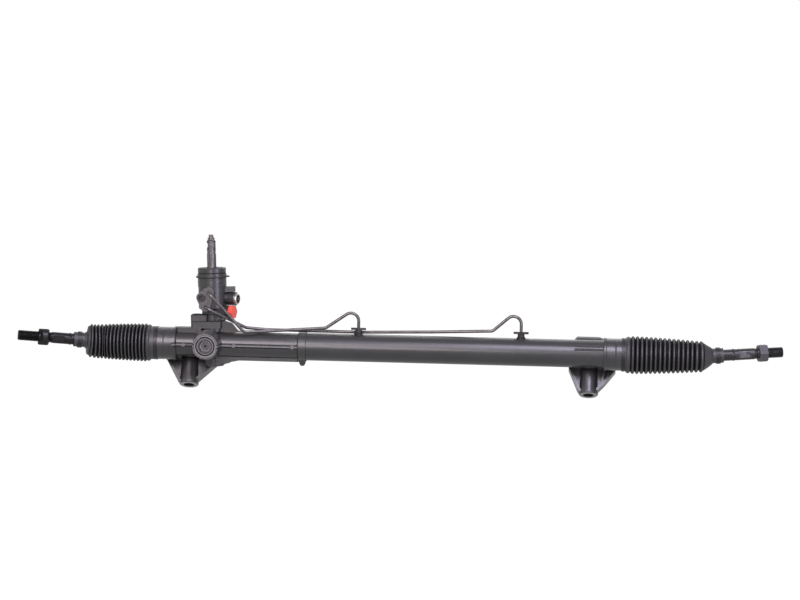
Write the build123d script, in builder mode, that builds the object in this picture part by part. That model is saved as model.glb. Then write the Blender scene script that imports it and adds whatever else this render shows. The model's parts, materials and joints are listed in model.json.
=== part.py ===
from build123d import *
import math
import os

# Hydraulic power steering rack: rack and pinion, rotary valve, cylinder, tie rods and bellows.
# Millimetres. +X runs along the rack, +Z is up the valve tower and -Y is the side with the yoke plug.
# The origin is the centre of the lower mouth of the left mounting bore.

os.makedirs("parts", exist_ok=True)

# ---------------------------------------------------------------- shared clearances
running_gap = 0.05  # radial, shaft in its bore
seat_gap = 0.02  # radial, ring pressed or screwed into its seat
body_gap = 0.3  # between pieces that never touch
thread_gap = 0.05  # radial, screwed pieces shown without their threads

# ---------------------------------------------------------------- mounting feet
mount_spacing = 602.5
mount_tilt = 24.0  # of the bores, lower end towards -Y
mount_bore_radius = 8.15
mount_boss_radius = 14.5
mount_boss_top_radius = 12.0
mount_boss_length = 62.0
mount_boss_chamfer = 1.2
mount_offset = 31.0  # between the rack axis and a mounting bore's axis
mount_drop = 55.0  # along the bore, from its lower mouth to the point nearest the rack axis
web_thickness = 7.0
web_rim_width = 4.5
web_rim_height = 5.5

# ---------------------------------------------------------------- rack bar
rack_radius = 13.0
rack_bore_radius = 13.5
rack_left = -109.5
rack_right = 746.0
rack_end_hole_radius = 8.0
rack_end_hole_depth = 24.0

# ---------------------------------------------------------------- rack and pinion teeth
tooth_module = 2.0
pinion_teeth = 8
pressure_angle = 20.0
profile_shift = 0.55  # in modules, keeps the small pinion free of undercut
backlash = 0.1
pinion_x = 35.5
pinion_lean = 2.4  # of the pinion axis, top towards -X
mesh_distance = 14.5  # between the rack axis and the pinion axis
pinion_tip_radius = 10.6
pinion_root_radius = 6.5
rack_tip_distance = 7.1  # from the pinion axis to the tips of the rack's teeth
rack_root_distance = 11.4
tooth_face_half = 15.0  # half the length of the pinion's teeth
rack_teeth = 28
rack_teeth_middle = 2.0  # of the toothed length, from the pinion axis

# ---------------------------------------------------------------- castings around the rack
housing_left = -54.0
seat_radius = 22.0  # where a bellows is clamped
neck_left = -46.0
neck_radius = 24.4
neck_right = -18.0
neck_line_x = -36.5  # fine groove round the neck
neck_line_width = 1.0
neck_line_depth = 0.6
neck_lip_length = 4.0  # thicker edge at the neck's right end
neck_lip_height = 1.2
casting_radius = 19.5
collar_left = 166.0
collar_right = 178.0
collar_radius = 21.7
collar_lobe_drop = 29.4
collar_lobe_radius = 4.0
spigot_length = 22.0
ledge_left = -19.0
ledge_right = 20.0
ledge_top = 24.7
ledge_front = 9.0
ledge_back = 16.0
lower_band_front = 8.0
lower_band_back = 10.0
lower_band_drop = 23.0
lower_band_start = 41.0
lower_band_start_drop = 30.3
lower_band_corner = 77.0
rib_proud = 1.9
rib_half_height = 1.4
pad_radius = 3.2
pad_proud = 2.4
pad_places = (69.8, 157.5)
left_pad_x = -6.3
left_lug_x = -23.0
left_lug_size = 6.0
left_lug_proud = 5.0

# ---------------------------------------------------------------- cylinder tube
tube_radius = 20.8
tube_bore_radius = 17.5
tube_right = 580.0
piston_x = 392.0
piston_width = 16.0
piston_groove_width = 2.4
piston_groove_depth = 2.0
circlip_width = 1.2
circlip_height = 1.6
circlip_depth = 0.8
inner_seal_left = 222.0
inner_seal_length = 20.0
outer_bush_left = 512.0
outer_bush_length = 30.0
bush_wall_ring = 1.6
seal_width = 6.0
seal_height = 2.6
port_left_x = 255.6
port_right_x = 499.7
port_radius = 5.2
port_foot_radius = 7.4
port_height = 6.5
port_foot_height = 2.4
clip_length = 22.6
clip_width = 7.6
clip_thickness = 3.0
clip_eye_radius = 1.4

# ---------------------------------------------------------------- outer casting
outer_neck_left = 628.0
outer_neck_right = 650.0
outer_neck_radius = 23.9
outer_end = 659.0
outer_rim_width = 4.5
outer_rim_height = 1.0
outer_line_x = 641.7  # fine groove round the outer neck
outer_body_radius = 21.4
outer_block_left = 580.0
outer_block_right = 617.0
outer_block_top = 23.6
outer_block_chamfer = 4.0
outer_rib_heights = (13.2, 8.4)

# ---------------------------------------------------------------- yoke
yoke_x = 29.5
yoke_radius = 14.9
yoke_bore_radius = 15.0
yoke_horn = -3.0  # the yoke's ends beside the rack
yoke_liner_thickness = 1.2
yoke_liner_half_angle = 55.0
yoke_liner_half_width = 9.0
yoke_spring_wire = 1.5
yoke_spring_radius = 6.2
yoke_spring_turns = 4
yoke_pocket_radius = 8.5
yoke_pocket_depth = 12.0
yoke_boss_front = -47.0
yoke_boss_radius = 19.4
yoke_boss_base = -12.0
yoke_boss_base_radius = 23.0
yoke_rim_bore = 16.4
yoke_plug_depth = 12.0
yoke_plug_recess = 1.6
yoke_play = 0.1
plug_inner = yoke_boss_front + yoke_plug_recess + yoke_plug_depth
yoke_front = plug_inner + yoke_play
yoke_hexagon = 17.0
yoke_hexagon_depth = 4.0
yoke_sight_radius = 1.75
yoke_groove_radius = 12.0
yoke_groove_width = 1.0
yoke_groove_depth = 0.8
stake_count = 24
stake_radius = 0.7
stake_circle = 14.2

# ---------------------------------------------------------------- pinion tower, heights along the pinion axis
tower_bottom = -34.0
tower_radius = 17.0
tower_foot_radius = 16.0
tower_foot_chamfer = 2.0
flange_low = 24.2
flange_top = 34.7
flange_left = 31.6
flange_right = 14.3
flange_front = 19.5
flange_back = 9.0
flange_corner = 3.0
rear_ear_x = 8.0
rear_ear_y = 22.0
rear_ear_radius = 8.5
ear_bolt_x = -24.5
ear_bolt_y = -5.0
valve_bolt_radius = 4.0
valve_bolt_head_radius = 6.0
valve_bolt_head_height = 6.0
valve_bolt_sunk = 5.0  # of the head in its counterbore
valve_bolt_hexagon = 5.0
valve_bolt_grip = 9.0
pinion_cavity_radius = 11.2
lower_bearing_bottom = -27.0
lower_bearing_top = -17.0
lower_bearing_radius = 11.1
lower_journal_radius = 8.0
lower_cap_radius = 13.0
lower_cap_hexagon = 12.0
upper_bearing_bottom = 19.5
upper_bearing_top = 28.5
upper_bearing_radius = 15.0
upper_journal_radius = 8.5
race_wall = 2.0
ball_radius = 2.0
ball_count = 10
pinion_seal_top = 34.0
tower_web_reach = 84.0
tower_web_thickness = 8.0
tower_web_shoulder = 19.5  # of the web's top, from the pinion's foot
tower_web_knee_x = 64.0
tower_web_knee_height = 31.8
tower_web_foot_x = 72.5
tower_web_foot_height = 21.5
tower_web_end_height = 17.6
flange_notch_x = 33.3  # round notch in the flange's lower front edge
flange_notch_radius = 2.2
flange_notch_depth = 4.0

# ---------------------------------------------------------------- valve
valve_flange_top = 44.8
valve_flange_right = -6.5
valve_step_right = 14.0  # of the part of the flange that stands back
valve_step_front = 14.5
valve_base_radius = 16.5
valve_cone_low = 50.5
valve_body_low = 54.0
valve_body_top = 100.3
valve_body_radius = 21.0
valve_step_height = 86.5
valve_step = 0.6
pinion_head_radius = 12.0
pinion_head_bottom = 35.2
pinion_head_top = 54.0
pinion_head_bore = 7.4
pinion_head_bore_bottom = 38.0
valve_lower_bore = 12.6
sleeve_radius = 15.6
sleeve_top = 89.6
sleeve_bore_radius = 16.0
sleeve_ring_count = 4
sleeve_ring_width = 1.6
sleeve_ring_pitch = 9.0
sleeve_ring_first = 58.0
rotor_radius = 9.0
rotor_slots = 8
rotor_slot_width = 2.4
rotor_slot_depth = 1.2
rotor_slot_low = 62.0
rotor_slot_high = 82.0
input_bearing_bottom = 90.6
input_bearing_top = 98.6
input_bearing_radius = 11.5
torsion_bar_radius = 2.6
torsion_bar_bottom = 20.0
torsion_bar_top = 119.6
torsion_socket_bottom = 18.0
torsion_bore_radius = 3.4
torsion_pin_height = 105.6
torsion_pin_radius = 1.5
cap_top = 115.0
cap_radius = 21.2
cap_rim_top = 102.5
cap_rim_radius = 24.2
cap_band_top = 106.2
cap_band_radius = 21.9
cap_groove_radius = 20.5
cap_groove_top = 107.6
cap_mouth_radius = 9.0
cap_lug_width = 5.0
cap_lug_reach = 26.2
input_seal_bottom = 101.0
input_seal_top = 108.6
input_seal_radius = 14.0

# ---------------------------------------------------------------- input shaft above the cap
input_radius = 6.9
input_journal_radius = 7.5  # in the seal and the cap's mouth
input_journal_rise = 1.0  # above the cap
neck_groove_low = 136.6
neck_groove_high = 138.4
neck_groove_radius = 6.1
spline_low = 140.5
spline_high = 155.5
spline_radius = 6.6
spline_root_radius = 6.0
spline_count = 24
clamp_notch_low = 145.4
clamp_notch_high = 152.0
clamp_notch_depth = 1.6
shaft_taper_high = 160.2
shaft_taper_radius = 5.2
shaft_tip_high = 164.6
shaft_tip_radius = 3.5

# ---------------------------------------------------------------- ports and pipe flange on the valve housing
port_turn = 20.0  # of both hose ports, from +X towards -Y
supply_height = 68.6
supply_reach = 35.0
supply_offset = 9.0  # of the port's axis behind the tower's axis
supply_boss_radius = 10.2
adapter_radius = 8.6
adapter_reach = 38.5
adapter_bore_radius = 6.3
adapter_bore_depth = 13.0
adapter_feed_radius = 3.0
return_height = 49.5
return_reach = 31.5
return_offset = -4.0
return_boss_radius = 9.6
plug_hexagon = 18.5
plug_head = 6.5
plug_shank_radius = 6.3
plug_shank_length = 7.0
lug_low = 77.8
lug_high = 85.9
lug_reach = 34.6
lug_half_depth = 6.0
flange_face = -13.0  # of the pipe flange's seat, from the rack axis
pipe_flange_thickness = 5.0
pipe_a_x = 30.5
pipe_a_height = 79.8
pipe_b_x = 26.0
pipe_b_height = 57.8
flange_bolt_x = 19.5
flange_bolt_height = 71.3
flange_lobe_radius = 7.6
flange_bolt_head_radius = 5.3
flange_bolt_head_height = 4.5
flange_bolt_shank_radius = 3.0
flange_bolt_grip = 10.0
flange_bolt_hexagon = 5.0

# ---------------------------------------------------------------- pressure pipes
pipe_radius = 2.38
pipe_bend = 9.0
# Places on the pressure pipes: along the rack, behind its axis and above it
pipe_a_drop_x = 53.0
pipe_a_drop_back = -25.0
pipe_a_drop_height = 56.0
pipe_a_foot_x = 84.0
pipe_a_foot_back = -13.0
pipe_a_foot_height = 20.6
pipe_a_run_x = 106.0
pipe_a_run_back = -8.0
pipe_a_run_height = 21.6
pipe_a_rise_x = 206.0
pipe_a_rise_back = 1.0
pipe_a_rise_height = 28.7
pipe_b_drop_x = 52.0
pipe_b_drop_back = -17.0
pipe_b_drop_height = 44.0
pipe_b_foot_x = 86.0
pipe_b_foot_back = -3.0
pipe_b_foot_height = 26.6
pipe_b_turn_x = 118.0
pipe_b_turn_back = 4.0
pipe_b_turn_height = 23.8
pipe_b_run_x = 186.0
pipe_b_run_back = 11.5
pipe_b_run_height = 23.1
pipe_b_middle_x = 262.0
pipe_b_middle_back = 12.0
pipe_b_middle_height = 23.0
pipe_b_climb_x = 362.0
pipe_b_climb_back = 10.0
pipe_b_climb_height = 26.0
pipe_b_rise_x = 457.0
pipe_b_rise_back = 2.0
pipe_b_rise_height = 30.4
pipe_a_crest = 62.9  # above the rack, where the short pipe turns down into its port
pipe_b_crest = 67.5
pipe_exit = 19.0  # from the seat of the pipe flange to the first corner
pipe_port_bend = 11.8

# ---------------------------------------------------------------- tie rods and ball joints
ball_joint_left = -127.5
ball_joint_right = 764.0
rod_yaw_left = 14.0  # towards -Y
rod_yaw_right = -5.0  # away from -Y
rod_pitch_left = 4.0
rod_pitch_right = 4.2
ball_joint_radius = 14.0
liner_thickness = 1.4
ball_housing_radius = 17.5
ball_housing_mouth = 10.5
ball_swing = 25.0
rod_neck_radius = 6.5
rod_neck_end = 22.0
rod_radius = 8.4
rod_core_radius = 7.6  # under the thread
rod_shoulder = 5.0  # between the body and the lock nut
rod_thread_radius = 8.0
rod_thread_gap = 4.0  # between the lock nut and the part of the thread that stays free
rod_length_left = 131.5
rod_length_right = 127.5
rod_flat_start = 62.0
rod_flat_end = 79.0
rod_flat_half = 7.2
rod_ring_start = 52.0
rod_ring_width = 2.2
rod_ring_height = 0.8
lock_nut_start_left = 86.0
lock_nut_start_right = 90.0
lock_nut_length = 14.0
lock_nut_flats = 24.0
lock_nut_turn_left = 30.0  # about the rod
lock_nut_turn_right = 12.0
ball_housing_flat_half = 16.5
ball_housing_flat_length = 9.0

# ---------------------------------------------------------------- bellows
convolutions = 16
crest_depth = 4.0
bellows_bore_radius = 18.0
cuff_radius = 11.0
cuff_wall_gap = 0.3
clamp_band = 1.2
big_clamp_width = 4.2
small_clamp_width = 6.0
left_crest_first = -62.3
left_crest_last = -144.6
left_big_radius = 28.4
left_small_radius = 25.2
left_cuff_start = 29.6
left_cuff_end = 47.5
right_crest_first = 667.0
right_crest_last = 768.8
right_big_radius = 28.2
right_small_radius = 23.3
right_cuff_start = 22.5
right_cuff_end = 38.0
bellows_shoulder = 25.0
bellows_roll_reach = 4.0  # along the rack, of the first plain roll behind the large clamp

# ---------------------------------------------------------------- worked out from the sizes above
tilt = math.radians(mount_tilt)
rack_y = mount_drop * math.sin(tilt) - mount_offset * math.cos(tilt)
rack_z = mount_drop * math.cos(tilt) + mount_offset * math.sin(tilt)
lean = math.radians(pinion_lean)
pinion_up = Vector(-math.sin(lean), 0, math.cos(lean))
pinion_across = Vector(math.cos(lean), 0, math.sin(lean))
pinion_middle = Vector(pinion_x, rack_y + mesh_distance, rack_z)
rack_axis = Axis((0, rack_y, rack_z), (1, 0, 0))
pinion_axis = Axis(pinion_middle, pinion_up)
rack_side = Plane(origin=(0, rack_y, rack_z), x_dir=(1, 0, 0), z_dir=(0, -1, 0))
pinion_side = Plane(origin=pinion_middle, x_dir=pinion_across, z_dir=(0, -1, 0))
tooth_pitch = math.pi * tooth_module
pitch_radius = tooth_module * pinion_teeth / 2
base_radius = pitch_radius * math.cos(math.radians(pressure_angle))


def station(x):
    """Plane across the rack at x, with its own x along +Y and its own y along +Z."""
    return Plane(origin=(x, rack_y, rack_z), x_dir=(0, 1, 0), z_dir=(1, 0, 0))


def level(height):
    """Plane across the pinion axis, with its own x along the rack and its own y along +Y."""
    return Plane(origin=pinion_middle + pinion_up * height, x_dir=pinion_across, z_dir=pinion_up)


def front(depth, x=0.0, height=0.0):
    """Plane that faces -Y, depth behind the rack axis, with its own x along +X and its own y along +Z."""
    return Plane(origin=(x, rack_y + depth, rack_z + height), x_dir=(1, 0, 0), z_dir=(0, -1, 0))


def rod(plane, radius, length, mode=Mode.ADD):
    """Round bar that starts on the plane."""
    with BuildSketch(plane) as disc:
        Circle(radius)
    extrude(disc.sketch, amount=length, mode=mode)


def ring(plane, outer, inner, length, mode=Mode.ADD):
    """Round tube that starts on the plane."""
    with BuildSketch(plane) as washer:
        Circle(outer)
        Circle(inner, mode=Mode.SUBTRACT)
    extrude(washer.sketch, amount=length, mode=mode)


def turn(plane, axis, outline, mode=Mode.ADD):
    """Solid of revolution of a closed outline."""
    with BuildSketch(plane) as profile:
        with BuildLine():
            Polyline(*outline, close=True)
        make_face()
    revolve(profile.sketch, axis=axis, mode=mode)


def slab(plane, outline, thickness, mode=Mode.ADD):
    """Flat plate with a closed outline, half its thickness to each side of the plane."""
    with BuildSketch(plane) as profile:
        with BuildLine():
            Polyline(*outline, close=True)
        make_face()
    extrude(profile.sketch, amount=thickness / 2, both=True, mode=mode)


def hexagon(plane, flats, length, mode=Mode.ADD):
    """Hexagonal bar, by its size across flats."""
    with BuildSketch(plane) as profile:
        RegularPolygon(flats / 2, 6, major_radius=False)
    extrude(profile.sketch, amount=length, mode=mode)


def save(builder, name):
    """Label a finished piece and write its STEP file."""
    builder.part.label = name
    export_step(builder.part, f"parts/{name}.step")


# ================================================================ mounting feet
def foot_level(x, height):
    """Plane across a mounting bore at a height above its lower mouth."""
    up = Vector(0, math.sin(tilt), math.cos(tilt))
    return Plane(origin=Vector(x, 0, 0) + up * height, x_dir=(1, 0, 0), z_dir=up)


def foot_side(x):
    """Plane along a mounting bore and the rack, with its own y up the bore."""
    return Plane(origin=(x, 0, 0), x_dir=(1, 0, 0), z_dir=(0, -math.cos(tilt), math.sin(tilt)))


def mounting_foot(x, left_web, right_web):
    """Drafted boss with a web to each side, inside the casting being built."""
    up = Vector(0, math.sin(tilt), math.cos(tilt))
    profile = (
        (0, 0),
        (mount_boss_radius - mount_boss_chamfer, 0),
        (mount_boss_radius, mount_boss_chamfer),
        (mount_boss_radius, mount_boss_chamfer * 4),
        (mount_boss_top_radius, mount_boss_length),
        (0, mount_boss_length),
    )
    for web in (left_web, right_web):
        slab(foot_side(x), ((0, web[0][1]), *web, (0, web[-1][1])), web_thickness)
        rim = [Vector(*point) for point in web[:-1]]
        inner = [point - Vector(math.copysign(web_rim_width, point.X), 0) for point in reversed(rim)]
        slab(foot_side(x), [(p.X, p.Y) for p in rim + inner], web_thickness + 2 * web_rim_height)
    turn(foot_side(x), Axis((x, 0, 0), up), profile)


def mounting_bore(x):
    """Through bore of one mounting boss."""
    rod(foot_level(x, -1), mount_bore_radius, mount_boss_length + 2, mode=Mode.SUBTRACT)


# ================================================================ gear housing
gear_left_web = ((-13.5, 3.0), (-17.5, 6.5), (-37.0, 41.0), (-37.0, 58.0))
gear_right_web = ((13.5, 7.0), (41.0, 34.0), (60.0, 40.0), (60.0, 50.0))

# Lobe below the collar, tapered to a round end both along and across the rack
collar_width = collar_right - collar_left
lobe_drop = collar_lobe_drop - collar_lobe_radius
with BuildPart() as collar_lobe:
    with BuildSketch(station(collar_left)) as lobe:
        with Locations((0, -lobe_drop)):
            Circle(collar_lobe_radius)
        with Locations((0, -casting_radius * 0.6)):
            Circle(casting_radius * 0.62)
        make_hull()
    extrude(lobe.sketch, amount=collar_width)
    with BuildSketch(front(casting_radius, collar_left + collar_width / 2)) as lobe_front:
        with Locations((0, -lobe_drop)):
            Circle(collar_lobe_radius)
        with Locations((0, -casting_radius / 2)):
            Rectangle(collar_width, casting_radius)
        make_hull()
    extrude(lobe_front.sketch, amount=2 * casting_radius, mode=Mode.INTERSECT)

with BuildPart() as gear_housing:
    # Round body from the bellows seat to the spigot inside the cylinder tube
    body_outline = (
        (housing_left, 0),
        (housing_left, seat_radius),
        (neck_left, seat_radius),
        (neck_left, neck_radius),
        (neck_line_x - neck_line_width, neck_radius),
        (neck_line_x, neck_radius - neck_line_depth),
        (neck_line_x + neck_line_width, neck_radius),
        (neck_right - neck_lip_length, neck_radius),
        (neck_right - neck_lip_length, neck_radius + neck_lip_height),
        (neck_right - neck_lip_height, neck_radius + neck_lip_height),
        (neck_right, neck_radius),
        (neck_right, casting_radius),
        (collar_left, casting_radius),
        (collar_left, collar_radius),
        (collar_right, collar_radius),
        (collar_right, tube_bore_radius - seat_gap),
        (collar_right + spigot_length, tube_bore_radius - seat_gap),
        (collar_right + spigot_length, 0),
    )
    turn(rack_side, rack_axis, body_outline)
    add(collar_lobe.part)
    # Flat ledge above the neck and the lower band of the casting
    ledge_middle = (ledge_left + ledge_right) / 2
    with BuildSketch(Plane.XY.offset(rack_z)) as ledge:
        with Locations((ledge_middle, rack_y + (ledge_back - ledge_front) / 2)):
            RectangleRounded(ledge_right - ledge_left, ledge_back + ledge_front, 3)
    extrude(ledge.sketch, amount=ledge_top)
    band_outline = (
        (lower_band_start, -casting_radius * 0.7),
        (lower_band_start, -lower_band_start_drop),
        (lower_band_corner, -lower_band_drop),
        (collar_left, -lower_band_drop),
        (collar_left, -casting_radius * 0.7),
    )
    band_middle = (lower_band_back - lower_band_front) / 2
    slab(front(band_middle), band_outline, lower_band_front + lower_band_back)
    # Parting rib with its ejector pads
    rib_outline = (
        (yoke_x, rib_half_height),
        (collar_left, rib_half_height),
        (collar_left, -rib_half_height),
        (yoke_x, -rib_half_height),
    )
    slab(front(-casting_radius / 2), rib_outline, casting_radius + 2 * rib_proud)
    left_rib_outline = (
        (left_lug_x, rib_half_height),
        (left_pad_x, rib_half_height),
        (left_pad_x, -rib_half_height),
        (left_lug_x, -rib_half_height),
    )
    slab(front(-casting_radius / 2), left_rib_outline, casting_radius + 2 * rib_proud)
    for pad in (left_pad_x, *pad_places):
        rod(front(0, pad), pad_radius, casting_radius + pad_proud)
    with BuildSketch(front(0, left_lug_x)) as lug:
        RegularPolygon(left_lug_size / 2, 6, major_radius=False)
    extrude(lug.sketch, amount=neck_radius + left_lug_proud / 2)
    # Drafted boss of the yoke
    yoke_axis = Axis((yoke_x, rack_y, rack_z), (0, -1, 0))
    yoke_outline = (
        (0, 0),
        (yoke_boss_base_radius, 0),
        (yoke_boss_base_radius, -yoke_boss_base),
        (yoke_boss_radius, -yoke_boss_front - mount_boss_chamfer),
        (yoke_boss_radius - mount_boss_chamfer, -yoke_boss_front),
        (0, -yoke_boss_front),
    )
    yoke_side = Plane(origin=(yoke_x, rack_y, rack_z), x_dir=(1, 0, 0), z_dir=(0, 0, 1)).rotated((180, 0, 0))
    turn(yoke_side, yoke_axis, yoke_outline)
    # Pinion tower with the flange that the valve housing is bolted to
    tower_outline = (
        (0, tower_bottom),
        (tower_foot_radius - tower_foot_chamfer, tower_bottom),
        (tower_foot_radius, tower_bottom + tower_foot_chamfer),
        (tower_foot_radius, flange_low),
        (0, flange_low),
    )
    turn(pinion_side, pinion_axis, tower_outline)
    rod(level(0), tower_radius, flange_low)
    with BuildSketch(level(flange_low)) as flange:
        Circle(tower_radius + 1)
        with Locations(((flange_right - flange_left) / 2, (flange_back - flange_front) / 2)):
            RectangleRounded(flange_right + flange_left, flange_back + flange_front, flange_corner)
    extrude(flange.sketch, amount=flange_top - flange_low)
    with BuildSketch(level(flange_low)) as rear_ear:
        with Locations((rear_ear_x, rear_ear_y)):
            Circle(rear_ear_radius)
        Circle(rear_ear_radius)
        make_hull()
    extrude(rear_ear.sketch, amount=flange_top - flange_low)
    web_outline = (
        (pinion_x, flange_top),
        (pinion_x + tower_web_shoulder, flange_top),
        (tower_web_knee_x, tower_web_knee_height),
        (tower_web_foot_x, tower_web_foot_height),
        (tower_web_reach, tower_web_end_height),
        (tower_web_reach, casting_radius * 0.5),
        (pinion_x, casting_radius * 0.5),
    )
    slab(front(mesh_distance / 2), web_outline, tower_web_thickness)
    mounting_foot(0, gear_left_web, gear_right_web)
    # Bores
    rod(station(housing_left - 1), rack_bore_radius, collar_right + spigot_length - housing_left + 2, Mode.SUBTRACT)
    rod(level(lower_bearing_bottom - 1), pinion_cavity_radius, 60, Mode.SUBTRACT)
    rod(level(tower_bottom - 1), lower_cap_radius + thread_gap, lower_bearing_bottom - tower_bottom + 1, Mode.SUBTRACT)
    rod(level(upper_bearing_bottom), upper_bearing_radius + seat_gap, 30, Mode.SUBTRACT)
    rod(front(0, yoke_x), yoke_bore_radius, -yoke_boss_front + 1, Mode.SUBTRACT)
    rod(front(yoke_boss_front + yoke_plug_depth + yoke_plug_recess, yoke_x), yoke_rim_bore, 30, Mode.SUBTRACT)
    mounting_bore(0)
    notch_back = front(-flange_front + flange_notch_depth, flange_notch_x, flange_low)
    rod(notch_back, flange_notch_radius, flange_front, Mode.SUBTRACT)
    for bolt_x, bolt_y in ((ear_bolt_x, ear_bolt_y), (rear_ear_x, rear_ear_y)):
        with BuildSketch(level(flange_top)) as bolt_hole:
            with Locations((bolt_x, bolt_y)):
                Circle(valve_bolt_radius + thread_gap)
        extrude(bolt_hole.sketch, amount=-valve_bolt_grip, mode=Mode.SUBTRACT)

save(gear_housing, "gear_housing")

# ================================================================ cylinder tube and outer casting
with BuildPart() as cylinder_tube:
    ring(station(collar_right), tube_radius, tube_bore_radius, tube_right - collar_right)
    for port_x in (port_left_x, port_right_x):
        drilling = Plane(origin=(port_x, rack_y, rack_z), z_dir=(0, 0, 1))
        rod(drilling, pipe_radius, tube_radius + 1, mode=Mode.SUBTRACT)
save(cylinder_tube, "cylinder_tube")

outer_left_web = ((-13.5, 3.5), (-16.5, 7.0), (-30.5, 40.0), (-30.5, 54.0))
outer_right_web = ((13.5, 6.0), (23.5, 16.5), (40.0, 38.0), (40.0, 54.0))
outer_foot_rib = ((18.0, 13.5), (21.5, 16.0), (28.0, 60.0), (24.5, 60.0))

with BuildPart() as outer_housing:
    outer_outline = (
        (tube_right - spigot_length, 0),
        (tube_right - spigot_length, tube_bore_radius - seat_gap),
        (tube_right, tube_bore_radius - seat_gap),
        (tube_right, outer_body_radius),
        (outer_neck_left - outer_rim_width, outer_body_radius),
        (outer_neck_left - outer_rim_width, outer_neck_radius),
        (outer_neck_left - outer_rim_width + outer_rim_height, outer_neck_radius + outer_rim_height),
        (outer_neck_left - outer_rim_height, outer_neck_radius + outer_rim_height),
        (outer_neck_left, outer_neck_radius),
        (outer_line_x - neck_line_width, outer_neck_radius),
        (outer_line_x, outer_neck_radius - neck_line_depth),
        (outer_line_x + neck_line_width, outer_neck_radius),
        (outer_neck_right, outer_neck_radius),
        (outer_neck_right, seat_radius),
        (outer_end, seat_radius),
        (outer_end, 0),
    )
    turn(rack_side, rack_axis, outer_outline)
    # Raised block and the ribs along the front
    block_outline = (
        (outer_block_left, 0),
        (outer_block_left, outer_block_top - outer_block_chamfer),
        (outer_block_left + outer_block_chamfer, outer_block_top),
        (outer_block_right, outer_block_top),
        (outer_neck_left - outer_rim_width, outer_body_radius),
        (outer_neck_left - outer_rim_width, 0),
    )
    slab(front(outer_body_radius * 0.65), block_outline, outer_body_radius * 1.3)
    for rib_height in outer_rib_heights:
        rib_reach = math.sqrt(outer_body_radius**2 - rib_height**2) + rib_proud
        rib_outline = (
            (tube_right, rib_height - rib_half_height),
            (outer_neck_left, rib_height - rib_half_height),
            (outer_neck_left, rib_height + rib_half_height),
            (tube_right, rib_height + rib_half_height),
        )
        slab(front(-rib_reach / 2), rib_outline, rib_reach)
    mounting_foot(mount_spacing, outer_left_web, outer_right_web)
    slab(foot_side(mount_spacing), outer_foot_rib, web_thickness + 2 * web_rim_height)
    bore_length = outer_end - tube_right + spigot_length + 2
    rod(station(tube_right - spigot_length - 1), rack_bore_radius, bore_length, Mode.SUBTRACT)
    mounting_bore(mount_spacing)
save(outer_housing, "outer_housing")

for name, port_x in (("port_left", port_left_x), ("port_right", port_right_x)):
    with BuildPart() as port:
        # Flared foot brazed over the tube, and the stub that the pipe enters
        with BuildSketch(Plane(origin=(port_x, rack_y, rack_z), x_dir=(1, 0, 0), z_dir=(0, -1, 0))) as port_profile:
            with BuildLine():
                Polyline(
                    (0, tube_radius * 0.7),
                    (port_foot_radius, tube_radius * 0.7),
                    (port_foot_radius, tube_radius),
                    (port_radius, tube_radius + port_foot_height),
                    (port_radius, tube_radius + port_height),
                    (0, tube_radius + port_height),
                    close=True,
                )
            make_face()
        revolve(port_profile.sketch, axis=Axis((port_x, rack_y, rack_z), (0, 0, 1)))
        rod(station(port_x - 2 * port_foot_radius), tube_radius + seat_gap, 4 * port_foot_radius, Mode.SUBTRACT)
        drilling = Plane(origin=(port_x, rack_y, rack_z), z_dir=(0, 0, 1))
        rod(drilling, pipe_radius + seat_gap, 2 * tube_radius, mode=Mode.SUBTRACT)
    save(port, name)
    with BuildPart() as clip:
        # Plate round the pipe with an eye at each end
        clip_plane = Plane(origin=(port_x, rack_y, rack_z + tube_radius + port_height), z_dir=(0, 0, 1))
        with BuildSketch(clip_plane) as clip_outline:
            SlotOverall(clip_length, clip_width)
            Circle(pipe_radius + seat_gap, mode=Mode.SUBTRACT)
            with GridLocations(clip_length - clip_width, 1, 2, 1):
                Circle(clip_eye_radius, mode=Mode.SUBTRACT)
        extrude(clip_outline.sketch, amount=clip_thickness)
    save(clip, name.replace("port", "pipe_clip"))

# Seals, bushes and their ring inside the tube
with BuildPart() as inner_seal_carrier:
    ring(station(inner_seal_left), tube_bore_radius - seat_gap, rack_radius + running_gap, inner_seal_length)
    seal_pocket = station(inner_seal_left + inner_seal_length - seal_width)
    ring(seal_pocket, rack_radius + seal_height, rack_radius - 1, seal_width + 1, mode=Mode.SUBTRACT)
save(inner_seal_carrier, "inner_seal_carrier")

with BuildPart() as inner_rack_seal:
    ring(seal_pocket, rack_radius + seal_height - seat_gap, rack_radius + running_gap, seal_width)
save(inner_rack_seal, "inner_rack_seal")

with BuildPart() as outer_rack_bush:
    ring(station(outer_bush_left), tube_bore_radius - seat_gap, rack_radius + running_gap, outer_bush_length)
    ring(station(outer_bush_left - 1), rack_radius + seal_height, rack_radius - 1, seal_width + 1, Mode.SUBTRACT)
save(outer_rack_bush, "outer_rack_bush")

with BuildPart() as outer_rack_seal:
    ring(station(outer_bush_left), rack_radius + seal_height - seat_gap, rack_radius + running_gap, seal_width)
save(outer_rack_seal, "outer_rack_seal")

with BuildPart() as bush_ring:
    ring_left = outer_bush_left + outer_bush_length
    ring(station(ring_left), tube_bore_radius - seat_gap, rack_radius + 1, bush_wall_ring)
save(bush_ring, "bush_ring")

# ================================================================ rack bar and piston
tooth_along = Plane(
    origin=(pinion_x, rack_y, rack_z),
    x_dir=pinion_across,
    z_dir=pinion_up,
)
rack_tip_y = mesh_distance - rack_tip_distance
rack_root_y = mesh_distance - rack_root_distance
rack_pitch_y = mesh_distance - pitch_radius
flank_slope = math.tan(math.radians(pressure_angle))
pinion_tooth_width = tooth_module * (math.pi / 2 + 2 * profile_shift * flank_slope)
gap_half_width = (pinion_tooth_width + backlash) / 2


def gap_half_at(y):
    """Half the width of a gap between two rack teeth, at a distance behind the rack axis."""
    return gap_half_width + (y - rack_pitch_y) * flank_slope


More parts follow.
